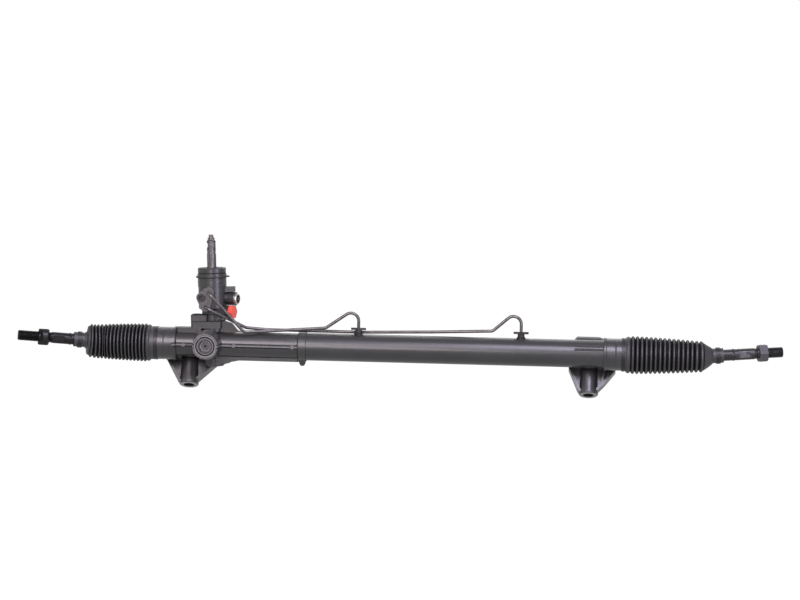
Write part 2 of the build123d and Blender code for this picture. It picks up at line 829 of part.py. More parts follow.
with BuildPart() as rack_bar:
    rod(station(rack_left), rack_radius, rack_right - rack_left)
    chamfer(rack_bar.edges().filter_by(GeomType.CIRCLE), mount_boss_chamfer)
    # Flat of the toothed length
    toothed_length = (rack_teeth + 1) * tooth_pitch
    with BuildSketch(tooth_along) as flat:
        with Locations((rack_teeth_middle * tooth_pitch, rack_tip_y + rack_radius)):
            Rectangle(toothed_length, 2 * rack_radius)
    extrude(flat.sketch, amount=2 * rack_radius, both=True, mode=Mode.SUBTRACT)
    # Gaps between the teeth, parallel to the pinion
    with BuildSketch(tooth_along) as gap:
        with BuildLine():
            Polyline(
                (-gap_half_at(rack_root_y), rack_root_y),
                (gap_half_at(rack_root_y), rack_root_y),
                (gap_half_at(rack_tip_y + 1), rack_tip_y + 1),
                (-gap_half_at(rack_tip_y + 1), rack_tip_y + 1),
                close=True,
            )
        make_face()
    with BuildSketch(tooth_along) as gaps:
        with Locations((rack_teeth_middle * tooth_pitch, 0)):
            with GridLocations(tooth_pitch, 1, rack_teeth + 1, 1):
                add(gap.sketch_local)
    extrude(gaps.sketch, amount=2 * rack_radius, both=True, mode=Mode.SUBTRACT)
    # Threaded holes of the ball joints and the piston's circlip grooves
    rod(station(rack_left), rack_end_hole_radius, rack_end_hole_depth, Mode.SUBTRACT)
    rod(station(rack_right), rack_end_hole_radius, -rack_end_hole_depth, Mode.SUBTRACT)
    for groove_x in (piston_x - piston_width / 2 - circlip_width, piston_x + piston_width / 2):
        groove_core = rack_radius - circlip_depth
        ring(station(groove_x), rack_radius + 1, groove_core, circlip_width, Mode.SUBTRACT)
save(rack_bar, "rack_bar")

with BuildPart() as piston:
    piston_left = piston_x - piston_width / 2
    ring(station(piston_left), tube_bore_radius - 2 * running_gap, rack_radius + seat_gap, piston_width)
    chamfer(piston.edges().filter_by(GeomType.CIRCLE).sort_by(SortBy.RADIUS)[-2:], running_gap * 8)
    groove_left = piston_x - piston_groove_width / 2
    piston_core = tube_bore_radius - piston_groove_depth
    ring(station(groove_left), tube_radius, piston_core, piston_groove_width, Mode.SUBTRACT)
save(piston, "piston")

with BuildPart() as piston_ring:
    ring_width = piston_groove_width - 2 * seat_gap
    ring(station(groove_left + seat_gap), tube_bore_radius - running_gap, piston_core + seat_gap, ring_width)
save(piston_ring, "piston_ring")

with BuildPart() as piston_circlips:
    for groove_x in (piston_left - circlip_width + seat_gap, piston_left + piston_width + seat_gap):
        circlip_outer = rack_radius + circlip_height
        circlip_inner = rack_radius - circlip_depth + seat_gap
        ring(station(groove_x), circlip_outer, circlip_inner, circlip_width - 2 * seat_gap)
save(piston_circlips, "piston_circlips")

# ================================================================ yoke
liner_radius = rack_radius + running_gap + yoke_liner_thickness

with BuildPart() as yoke:
    rod(front(yoke_horn, yoke_x), yoke_radius, yoke_horn - yoke_front)
    # Hollow that the rack and the liner lie in, and the pocket of the spring
    rod(station(yoke_x - 2 * yoke_radius), liner_radius + seat_gap, 4 * yoke_radius, Mode.SUBTRACT)
    rod(front(yoke_front, yoke_x), yoke_pocket_radius, -yoke_pocket_depth, Mode.SUBTRACT)
    # Groove of the O-ring
    groove_front = front(yoke_front + yoke_groove_depth * 5, yoke_x)
    ring(groove_front, yoke_radius + 1, yoke_radius - 2 * yoke_groove_width, -2 * yoke_groove_width, Mode.SUBTRACT)
save(yoke, "yoke")

with BuildPart() as yoke_o_ring:
    ring_face = front(yoke_front + yoke_groove_depth * 5 + seat_gap, yoke_x)
    ring_core = yoke_radius - 2 * yoke_groove_width + seat_gap
    ring(ring_face, yoke_bore_radius - seat_gap, ring_core, -2 * (yoke_groove_width - seat_gap))
save(yoke_o_ring, "yoke_o_ring")

with BuildPart() as yoke_liner:
    # Low-friction strip between the rack and the yoke
    with BuildSketch(station(yoke_x - yoke_liner_half_width)) as strip:
        with BuildLine():
            start = 180 - yoke_liner_half_angle
            sweep_angle = 2 * yoke_liner_half_angle
            inner_arc = CenterArc((0, 0), rack_radius + running_gap, start, sweep_angle)
            outer_arc = CenterArc((0, 0), liner_radius, start, sweep_angle)
            Line(inner_arc @ 0, outer_arc @ 0)
            Line(inner_arc @ 1, outer_arc @ 1)
        make_face()
    extrude(strip.sketch, amount=2 * yoke_liner_half_width)
save(yoke_liner, "yoke_liner")

with BuildPart() as yoke_spring:
    # Coil between the pocket of the yoke and the plug
    coil_start = yoke_front + yoke_pocket_depth - yoke_spring_wire - seat_gap
    coil_height = coil_start - plug_inner - yoke_spring_wire - seat_gap
    coil_centre = front(coil_start, yoke_x).origin
    with BuildLine() as coil:
        Helix(coil_height / yoke_spring_turns, coil_height, yoke_spring_radius, coil_centre, (0, -1, 0))
    with BuildSketch(Plane(coil.line @ 0, z_dir=coil.line % 0)) as wire:
        Circle(yoke_spring_wire)
    sweep(wire.sketch, path=coil.line)
save(yoke_spring, "yoke_spring")

with BuildPart() as yoke_plug:
    # Screwed plug with a hexagon recess, a ring groove, a sight hole and staking marks
    plug_face = front(yoke_boss_front + yoke_plug_recess, yoke_x)
    rod(plug_face, yoke_rim_bore - thread_gap, -yoke_plug_depth)
    hexagon(plug_face, yoke_hexagon, -yoke_hexagon_depth, Mode.SUBTRACT)
    groove_outer = yoke_groove_radius + yoke_groove_width / 2
    groove_inner = yoke_groove_radius - yoke_groove_width / 2
    ring(plug_face, groove_outer, groove_inner, -yoke_groove_depth, Mode.SUBTRACT)
    rod(plug_face, yoke_sight_radius, -2 * yoke_hexagon_depth, Mode.SUBTRACT)
    with BuildSketch(plug_face) as stakes:
        with PolarLocations(stake_circle, stake_count):
            Circle(stake_radius)
    extrude(stakes.sketch, amount=-yoke_groove_depth, mode=Mode.SUBTRACT)
save(yoke_plug, "yoke_plug")

# ================================================================ bearings and seals of the pinion
with BuildPart() as lower_bearing:
    bearing_length = lower_bearing_top - lower_bearing_bottom
    bearing_outer = lower_bearing_radius
    ring(level(lower_bearing_bottom), bearing_outer, lower_journal_radius + running_gap, bearing_length)
save(lower_bearing, "lower_bearing")

with BuildPart() as lower_cap:
    cap_length = lower_bearing_bottom - tower_bottom - running_gap
    rod(level(tower_bottom), lower_cap_radius, cap_length)
    hexagon(level(tower_bottom), lower_cap_hexagon, cap_length / 2, Mode.SUBTRACT)
save(lower_cap, "lower_cap")

race_length = upper_bearing_top - upper_bearing_bottom
ball_circle = (upper_journal_radius + upper_bearing_radius) / 2
ball_height = (upper_bearing_bottom + upper_bearing_top) / 2


def race_groove():
    """Torus that both races are ground to."""
    with BuildSketch(pinion_side) as groove:
        with Locations((ball_circle, ball_height)):
            Circle(ball_radius + running_gap)
    revolve(groove.sketch, axis=pinion_axis, mode=Mode.SUBTRACT)


with BuildPart() as bearing_outer_ring:
    ring(level(upper_bearing_bottom), upper_bearing_radius, upper_bearing_radius - race_wall, race_length)
    race_groove()
save(bearing_outer_ring, "bearing_outer_ring")

with BuildPart() as bearing_inner_ring:
    inner_bore = upper_journal_radius + seat_gap
    ring(level(upper_bearing_bottom), upper_journal_radius + race_wall, inner_bore, race_length)
    race_groove()
save(bearing_inner_ring, "bearing_inner_ring")

with BuildPart() as bearing_balls:
    with Locations(level(ball_height)):
        with PolarLocations(ball_circle, ball_count):
            Sphere(ball_radius)
save(bearing_balls, "bearing_balls")

with BuildPart() as pinion_seal:
    seal_bottom = upper_bearing_top + 1
    seal_outer = upper_bearing_radius - seat_gap
    ring(level(seal_bottom), seal_outer, upper_journal_radius + running_gap, pinion_seal_top - seal_bottom)
save(pinion_seal, "pinion_seal")

# ================================================================ pinion shaft
inv_pressure = math.tan(math.radians(pressure_angle)) - math.radians(pressure_angle)
pitch_half_angle = pinion_tooth_width / (2 * pitch_radius)


def half_angle(radius):
    """Half the angle of a pinion tooth at a radius on its involute flank."""
    roll = math.acos(min(1.0, base_radius / radius))
    return pitch_half_angle + inv_pressure - (math.tan(roll) - roll)


def flank_point(radius, side):
    """Point of the flank, with the tooth along the sketch's own -y, towards the rack."""
    angle = half_angle(radius)
    return (side * radius * math.sin(angle), -radius * math.cos(angle))


flank_steps = 5
flank_radii = [base_radius + (pinion_tip_radius - base_radius) * step / flank_steps for step in range(flank_steps + 1)]
root_angle = half_angle(base_radius)

with BuildPart() as pinion_shaft:
    # Toothed length: a root cylinder with one tooth repeated about it
    rod(level(-tooth_face_half), pinion_root_radius, 2 * tooth_face_half)
    with BuildSketch(level(-tooth_face_half)) as tooth:
        with BuildLine():
            left_flank = Spline(*[flank_point(radius, -1) for radius in flank_radii])
            right_flank = Spline(*[flank_point(radius, 1) for radius in flank_radii])
            RadiusArc(left_flank @ 1, right_flank @ 1, pinion_tip_radius)
            core = pinion_root_radius * 0.9
            left_root = (-core * math.sin(root_angle), -core * math.cos(root_angle))
            right_root = (core * math.sin(root_angle), -core * math.cos(root_angle))
            Polyline(left_flank @ 0, left_root, right_root, right_flank @ 0)
        make_face()
    with BuildSketch(level(-tooth_face_half)) as teeth:
        with PolarLocations(0, pinion_teeth):
            add(tooth.sketch_local)
    extrude(teeth.sketch, amount=2 * tooth_face_half)
    # Journals, head and the bores of the input shaft and torsion bar
    journal_bottom = lower_bearing_bottom + running_gap
    rod(level(journal_bottom), lower_journal_radius, -tooth_face_half - journal_bottom)
    rod(level(tooth_face_half), upper_journal_radius, pinion_head_bottom - tooth_face_half)
    rod(level(pinion_head_bottom), pinion_head_radius, pinion_head_top - pinion_head_bottom)
    rod(level(pinion_head_bore_bottom), pinion_head_bore, 2 * pinion_head_top, Mode.SUBTRACT)
    rod(level(torsion_socket_bottom), torsion_bar_radius + running_gap, pinion_head_top, Mode.SUBTRACT)
save(pinion_shaft, "pinion_shaft")

# ================================================================ valve
with BuildPart() as valve_sleeve:
    sleeve_length = sleeve_top - pinion_head_top
    ring(level(pinion_head_top), sleeve_radius, rotor_radius + running_gap, sleeve_length)
    for index in range(sleeve_ring_count):
        ring_low = sleeve_ring_first + index * sleeve_ring_pitch
        ring(level(ring_low), sleeve_radius + 1, sleeve_radius - sleeve_ring_width, sleeve_ring_width, Mode.SUBTRACT)
        # Oil gallery between two rings, with its drillings
        if index < sleeve_ring_count - 1:
            gallery = ring_low + (sleeve_ring_pitch + sleeve_ring_width) / 2
            gallery_width = sleeve_ring_pitch / 3
            gallery_floor = sleeve_radius - sleeve_ring_width
            low = gallery - gallery_width / 2
            ring(level(low), sleeve_radius + 1, gallery_floor, gallery_width, Mode.SUBTRACT)
            for turn_angle in (index * 30, index * 30 + 180):
                drill = level(gallery).rotated((0, 0, turn_angle)).rotated((0, 90, 0))
                rod(drill, sleeve_ring_width / 2, sleeve_radius + 1, Mode.SUBTRACT)
save(valve_sleeve, "valve_sleeve")

with BuildPart() as sleeve_rings:
    for index in range(sleeve_ring_count):
        ring_low = sleeve_ring_first + index * sleeve_ring_pitch + seat_gap
        ring_floor = sleeve_radius - sleeve_ring_width + seat_gap
        ring(level(ring_low), sleeve_bore_radius - running_gap, ring_floor, sleeve_ring_width - 2 * seat_gap)
save(sleeve_rings, "sleeve_rings")

with BuildPart() as input_shaft:
    shaft_outline = (
        (0, pinion_head_bore_bottom + body_gap),
        (pinion_head_bore - running_gap, pinion_head_bore_bottom + body_gap),
        (pinion_head_bore - running_gap, pinion_head_top + body_gap),
        (rotor_radius, pinion_head_top + body_gap),
        (rotor_radius, input_bearing_top),
        (input_journal_radius, input_bearing_top),
        (input_journal_radius, cap_top + input_journal_rise),
        (input_radius, cap_top + input_journal_rise),
        (input_radius, neck_groove_low),
        (neck_groove_radius, neck_groove_low),
        (neck_groove_radius, neck_groove_high),
        (spline_radius, neck_groove_high),
        (spline_radius, spline_high),
        (shaft_taper_radius, spline_high + 1),
        (shaft_taper_radius, shaft_taper_high),
        (shaft_tip_radius, shaft_taper_high),
        (shaft_tip_radius, shaft_tip_high),
        (0, shaft_tip_high),
    )
    turn(pinion_side, pinion_axis, shaft_outline)
    # Splines, with the notch of the clamp bolt across one side
    spline_depth = spline_radius - spline_root_radius
    with BuildSketch(level(clamp_notch_high)) as spline_gaps:
        with PolarLocations(spline_radius, spline_count):
            Rectangle(2 * spline_depth, math.pi * spline_radius / spline_count)
    extrude(spline_gaps.sketch, amount=spline_high - clamp_notch_high, mode=Mode.SUBTRACT)
    with BuildSketch(level(spline_low + 2 * spline_depth)) as spline_gaps:
        with PolarLocations(spline_radius, spline_count):
            Rectangle(2 * spline_depth, math.pi * spline_radius / spline_count)
    extrude(spline_gaps.sketch, amount=clamp_notch_low - spline_low - 2 * spline_depth, mode=Mode.SUBTRACT)
    with BuildSketch(level(clamp_notch_low)) as notch:
        with Locations((-spline_radius, 0)):
            Rectangle(2 * clamp_notch_depth, 4 * spline_radius)
    extrude(notch.sketch, amount=clamp_notch_high - clamp_notch_low, mode=Mode.SUBTRACT)
    # Valve slots along the rotor
    with BuildSketch(level(rotor_slot_low)) as slots:
        with PolarLocations(rotor_radius, rotor_slots):
            Rectangle(2 * rotor_slot_depth, rotor_slot_width)
    extrude(slots.sketch, amount=rotor_slot_high - rotor_slot_low, mode=Mode.SUBTRACT)
    rod(level(0), torsion_bore_radius, torsion_bar_top + 1, Mode.SUBTRACT)
    pin_across = level(torsion_pin_height).rotated((0, 90, 0))
    with BuildSketch(pin_across) as pin_hole:
        Circle(torsion_pin_radius + seat_gap)
    extrude(pin_hole.sketch, amount=2 * input_journal_radius, both=True, mode=Mode.SUBTRACT)
save(input_shaft, "input_shaft")

with BuildPart() as torsion_bar:
    rod(level(torsion_bar_bottom), torsion_bar_radius, torsion_bar_top - torsion_bar_bottom)
    # Head of the bar where the pin crosses it
    head_low = torsion_pin_height - 4 * torsion_pin_radius
    rod(level(head_low), torsion_bore_radius - seat_gap, torsion_bar_top - head_low)
    with BuildSketch(pin_across) as pin_hole:
        Circle(torsion_pin_radius + seat_gap)
    extrude(pin_hole.sketch, amount=2 * input_journal_radius, both=True, mode=Mode.SUBTRACT)
save(torsion_bar, "torsion_bar")

with BuildPart() as torsion_pin:
    with BuildSketch(pin_across) as pin_section:
        Circle(torsion_pin_radius)
    extrude(pin_section.sketch, amount=input_journal_radius - 4 * running_gap, both=True)
save(torsion_pin, "torsion_pin")

# ================================================================ valve housing
def port_plane(height, reach, offset):
    """Plane across a hose port, reach from the tower's axis, facing outwards."""
    turned = math.radians(-port_turn)
    outwards = Vector(math.cos(turned), math.sin(turned), 0)
    aside = Vector(-math.sin(turned), math.cos(turned), 0)
    origin = pinion_middle + pinion_up * height + aside * offset + outwards * reach
    return Plane(origin=origin, x_dir=aside, z_dir=outwards)


flange_places = ((pipe_a_x, pipe_a_height), (pipe_b_x, pipe_b_height), (flange_bolt_x, flange_bolt_height))

with BuildPart() as valve_housing:
    housing_outline = (
        (0, flange_top),
        (valve_base_radius, flange_top),
        (valve_base_radius, valve_cone_low),
        (valve_body_radius, valve_body_low),
        (valve_body_radius, valve_step_height),
        (valve_body_radius + valve_step, valve_step_height),
        (valve_body_radius + valve_step, valve_body_top),
        (0, valve_body_top),
    )
    turn(pinion_side, pinion_axis, housing_outline)
    # Flange block on the left and the ear behind
    with BuildSketch(level(flange_top)) as flange_block:
        with Locations(((valve_flange_right - flange_left) / 2, (flange_back - flange_front) / 2)):
            RectangleRounded(valve_flange_right + flange_left, flange_back + flange_front, flange_corner)
        with Locations((0, (flange_back - valve_step_front) / 2)):
            RectangleRounded(2 * valve_step_right, flange_back + valve_step_front, flange_corner)
    extrude(flange_block.sketch, amount=valve_flange_top - flange_top)
    with BuildSketch(level(flange_top)) as rear_ear:
        with Locations((rear_ear_x, rear_ear_y)):
            Circle(rear_ear_radius)
        Circle(rear_ear_radius)
        make_hull()
    extrude(rear_ear.sketch, amount=valve_flange_top - flange_top)
    # Pad of the pipe flange, on the front
    with BuildSketch(front(flange_face)) as pad:
        for place in flange_places:
            with Locations(place):
                Circle(flange_lobe_radius)
        make_hull()
    extrude(pad.sketch, amount=flange_face)
    # Bosses of the supply and return ports, and the lug above
    rod(port_plane(supply_height, 0, supply_offset), supply_boss_radius, supply_reach)
    rod(port_plane(return_height, 0, return_offset), return_boss_radius, return_reach)
    lug_plane = level(lug_low)
    with BuildSketch(lug_plane) as lug:
        with Locations((lug_reach / 2, 0)):
            RectangleRounded(lug_reach, 2 * lug_half_depth, 1)
    extrude(lug.sketch, amount=lug_high - lug_low)
    # Bores
    rod(level(flange_top - 1), valve_lower_bore, pinion_head_top - flange_top + 2, Mode.SUBTRACT)
    sleeve_bore_top = sleeve_top + body_gap
    sleeve_bore_low = pinion_head_top - 1
    rod(level(sleeve_bore_low), sleeve_bore_radius, sleeve_bore_top - sleeve_bore_low, Mode.SUBTRACT)
    bearing_seat = input_bearing_radius + seat_gap
    rod(level(sleeve_top), bearing_seat, valve_body_top - sleeve_top + 1, Mode.SUBTRACT)
    for place in (pipe_a_x, pipe_a_height), (pipe_b_x, pipe_b_height):
        rod(front(flange_face, *place), pipe_radius + seat_gap, flange_face / 3, Mode.SUBTRACT)
    bolt_seat = front(flange_face, flange_bolt_x, flange_bolt_height)
    rod(bolt_seat, flange_bolt_shank_radius + thread_gap, -flange_bolt_grip, Mode.SUBTRACT)
    supply_face = port_plane(supply_height, supply_reach, supply_offset)
    rod(supply_face, adapter_bore_radius + 1, -adapter_bore_depth, Mode.SUBTRACT)
    return_face = port_plane(return_height, return_reach, return_offset)
    rod(return_face, plug_shank_radius + thread_gap, -plug_shank_length - 1, Mode.SUBTRACT)
    for bolt_x, bolt_y in ((ear_bolt_x, ear_bolt_y), (rear_ear_x, rear_ear_y)):
        with BuildSketch(level(flange_top - 1)) as bolt_hole:
            with Locations((bolt_x, bolt_y)):
                Circle(valve_bolt_radius + thread_gap)
        extrude(bolt_hole.sketch, amount=valve_flange_top, mode=Mode.SUBTRACT)
        with BuildSketch(level(valve_flange_top - valve_bolt_sunk)) as counterbore:
            with Locations((bolt_x, bolt_y)):
                Circle(valve_bolt_head_radius + thread_gap)
        extrude(counterbore.sketch, amount=valve_bolt_sunk + 1, mode=Mode.SUBTRACT)
save(valve_housing, "valve_housing")

with BuildPart() as valve_bolts:
    for bolt_x, bolt_y in ((ear_bolt_x, ear_bolt_y), (rear_ear_x, rear_ear_y)):
        with BuildSketch(level(flange_top - valve_bolt_grip + 1)) as shank:
            with Locations((bolt_x, bolt_y)):
                Circle(valve_bolt_radius)
        extrude(shank.sketch, amount=valve_flange_top - flange_top + valve_bolt_grip - 1)
        with BuildSketch(level(valve_flange_top - valve_bolt_sunk)) as head:
            with Locations((bolt_x, bolt_y)):
                Circle(valve_bolt_head_radius)
        extrude(head.sketch, amount=valve_bolt_head_height)
        with BuildSketch(level(valve_flange_top - valve_bolt_sunk + valve_bolt_head_height)) as socket:
            with Locations((bolt_x, bolt_y)):
                RegularPolygon(valve_bolt_hexagon / 2, 6, major_radius=False)
        extrude(socket.sketch, amount=-valve_bolt_head_height / 2, mode=Mode.SUBTRACT)
save(valve_bolts, "valve_bolts")

with BuildPart() as valve_cap:
    cap_outline = (
        (0, valve_body_top),
        (cap_rim_radius, valve_body_top),
        (cap_rim_radius, cap_rim_top),
        (cap_band_radius, cap_rim_top),
        (cap_band_radius, cap_band_top),
        (cap_groove_radius, cap_band_top),
        (cap_groove_radius, cap_groove_top),
        (cap_radius, cap_groove_top),
        (cap_radius, cap_top - mount_boss_chamfer),
        (cap_radius - mount_boss_chamfer, cap_top),
        (0, cap_top),
    )
    turn(pinion_side, pinion_axis, cap_outline)
    with BuildSketch(level(valve_body_top)) as cap_lug:
        with Locations((cap_lug_reach / 2, 0)):
            Rectangle(cap_lug_reach, cap_lug_width)
    extrude(cap_lug.sketch, amount=cap_rim_top - valve_body_top)
    rod(level(valve_body_top - 1), input_seal_radius, input_seal_top - valve_body_top + 1, Mode.SUBTRACT)
    rod(level(valve_body_top - 1), cap_mouth_radius, cap_top, Mode.SUBTRACT)
save(valve_cap, "valve_cap")

with BuildPart() as input_bearing:
    needle_length = input_bearing_top - input_bearing_bottom
    ring(level(input_bearing_bottom), input_bearing_radius, rotor_radius + running_gap, needle_length)
save(input_bearing, "input_bearing")

with BuildPart() as input_seal:
    ring(level(input_seal_bottom), input_seal_radius - seat_gap, input_journal_radius + running_gap, input_seal_top - input_seal_bottom)
save(input_seal, "input_seal")

# ================================================================ hose ports
with BuildPart() as port_adapter:
    # Plated union: a shank in the boss, a collar outside and a blind threaded bore
    rod(supply_face, adapter_radius, adapter_reach - supply_reach)
    rod(supply_face, adapter_bore_radius + 1 - thread_gap, 1 - adapter_bore_depth)
    adapter_mouth = port_plane(supply_height, adapter_reach, supply_offset)
    chamfer(port_adapter.faces().sort_by(Axis(adapter_mouth.origin, adapter_mouth.z_dir))[-1].edges(), mount_boss_chamfer)
    rod(adapter_mouth, adapter_bore_radius, -adapter_bore_depth, Mode.SUBTRACT)
    rod(adapter_mouth, adapter_feed_radius, -2 * adapter_bore_depth, Mode.SUBTRACT)
save(port_adapter, "port_adapter")

with BuildPart() as port_plug:
    # Plastic transport plug with a hexagon head
    hexagon(return_face, plug_hexagon, plug_head)
    rod(return_face, plug_shank_radius, -plug_shank_length)
save(port_plug, "port_plug")

# ================================================================ pipe flange and pipes
with BuildPart() as pipe_flange:
    with BuildSketch(front(flange_face)) as flange_outline:
        for place in flange_places:
            with Locations(place):
                Circle(flange_lobe_radius)
        make_hull()
    extrude(flange_outline.sketch, amount=pipe_flange_thickness)
    for place in (pipe_a_x, pipe_a_height), (pipe_b_x, pipe_b_height):
        rod(front(0, *place), pipe_radius + seat_gap, 40, Mode.SUBTRACT)
    rod(front(0, flange_bolt_x, flange_bolt_height), flange_bolt_shank_radius + thread_gap, 40, Mode.SUBTRACT)
save(pipe_flange, "pipe_flange")

with BuildPart() as flange_bolt:
    head_seat = front(flange_face - pipe_flange_thickness, flange_bolt_x, flange_bolt_height)
    rod(head_seat, flange_bolt_head_radius, flange_bolt_head_height)
    rod(head_seat, flange_bolt_shank_radius, -flange_bolt_grip - pipe_flange_thickness + 1)
    head_top = head_seat.offset(flange_bolt_head_height)
    hexagon(head_top, flange_bolt_hexagon, -flange_bolt_head_height / 2, Mode.SUBTRACT)
save(flange_bolt, "flange_bolt")


def route(*points):
    """Points given as x, distance behind the rack axis and height above it."""
    return [Vector(x, rack_y + y, rack_z + z) for x, y, z in points]


pipe_a_route = route(
    (pipe_a_x, flange_face + 1, pipe_a_height),
    (pipe_a_x, flange_face - pipe_exit, pipe_a_height),
    (pipe_a_drop_x, pipe_a_drop_back, pipe_a_drop_height),
    (pipe_a_foot_x, pipe_a_foot_back, pipe_a_foot_height),
    (pipe_a_run_x, pipe_a_run_back, pipe_a_run_height),
    (pipe_a_rise_x, pipe_a_rise_back, pipe_a_rise_height),
    (port_left_x, 0, pipe_a_crest),
    (port_left_x, 0, tube_radius + port_foot_height),
)
pipe_b_route = route(
    (pipe_b_x, flange_face + 1, pipe_b_height),
    (pipe_b_x, flange_face - pipe_exit, pipe_b_height),
    (pipe_b_drop_x, pipe_b_drop_back, pipe_b_drop_height),
    (pipe_b_foot_x, pipe_b_foot_back, pipe_b_foot_height),
    (pipe_b_turn_x, pipe_b_turn_back, pipe_b_turn_height),
    (pipe_b_run_x, pipe_b_run_back, pipe_b_run_height),
    (pipe_b_middle_x, pipe_b_middle_back, pipe_b_middle_height),
    (pipe_b_climb_x, pipe_b_climb_back, pipe_b_climb_height),
    (pipe_b_rise_x, pipe_b_rise_back, pipe_b_rise_height),
    (port_right_x, 0, pipe_b_crest),
    (port_right_x, 0, tube_radius + port_foot_height),
)
for name, points in (("pressure_pipe_left", pipe_a_route), ("pressure_pipe_right", pipe_b_route)):
    bends = [pipe_bend] * (len(points) - 3) + [pipe_port_bend]
    with BuildPart() as pipe:
        with BuildLine() as centre_line:
            FilletPolyline(*points, radius=bends)
        with BuildSketch(Plane(points[0], z_dir=points[1] - points[0])) as section:
            Circle(pipe_radius)
        sweep(section.sketch, path=centre_line.line)
    save(pipe, name)

# ================================================================ ball joints, tie rods and bellows
def rod_frame(ball_x, side, yaw, pitch):
    """Ball centre and direction of a tie rod; side is -1 at the left end and 1 at the right."""
    centre = Vector(ball_x, rack_y, rack_z)
    level_turn = math.radians(yaw)
    rise = math.radians(pitch)
    flat_x = side * math.cos(level_turn) * math.cos(rise)
    flat_y = -math.sin(level_turn) * math.cos(rise)
    return centre, Vector(flat_x, flat_y, math.sin(rise))


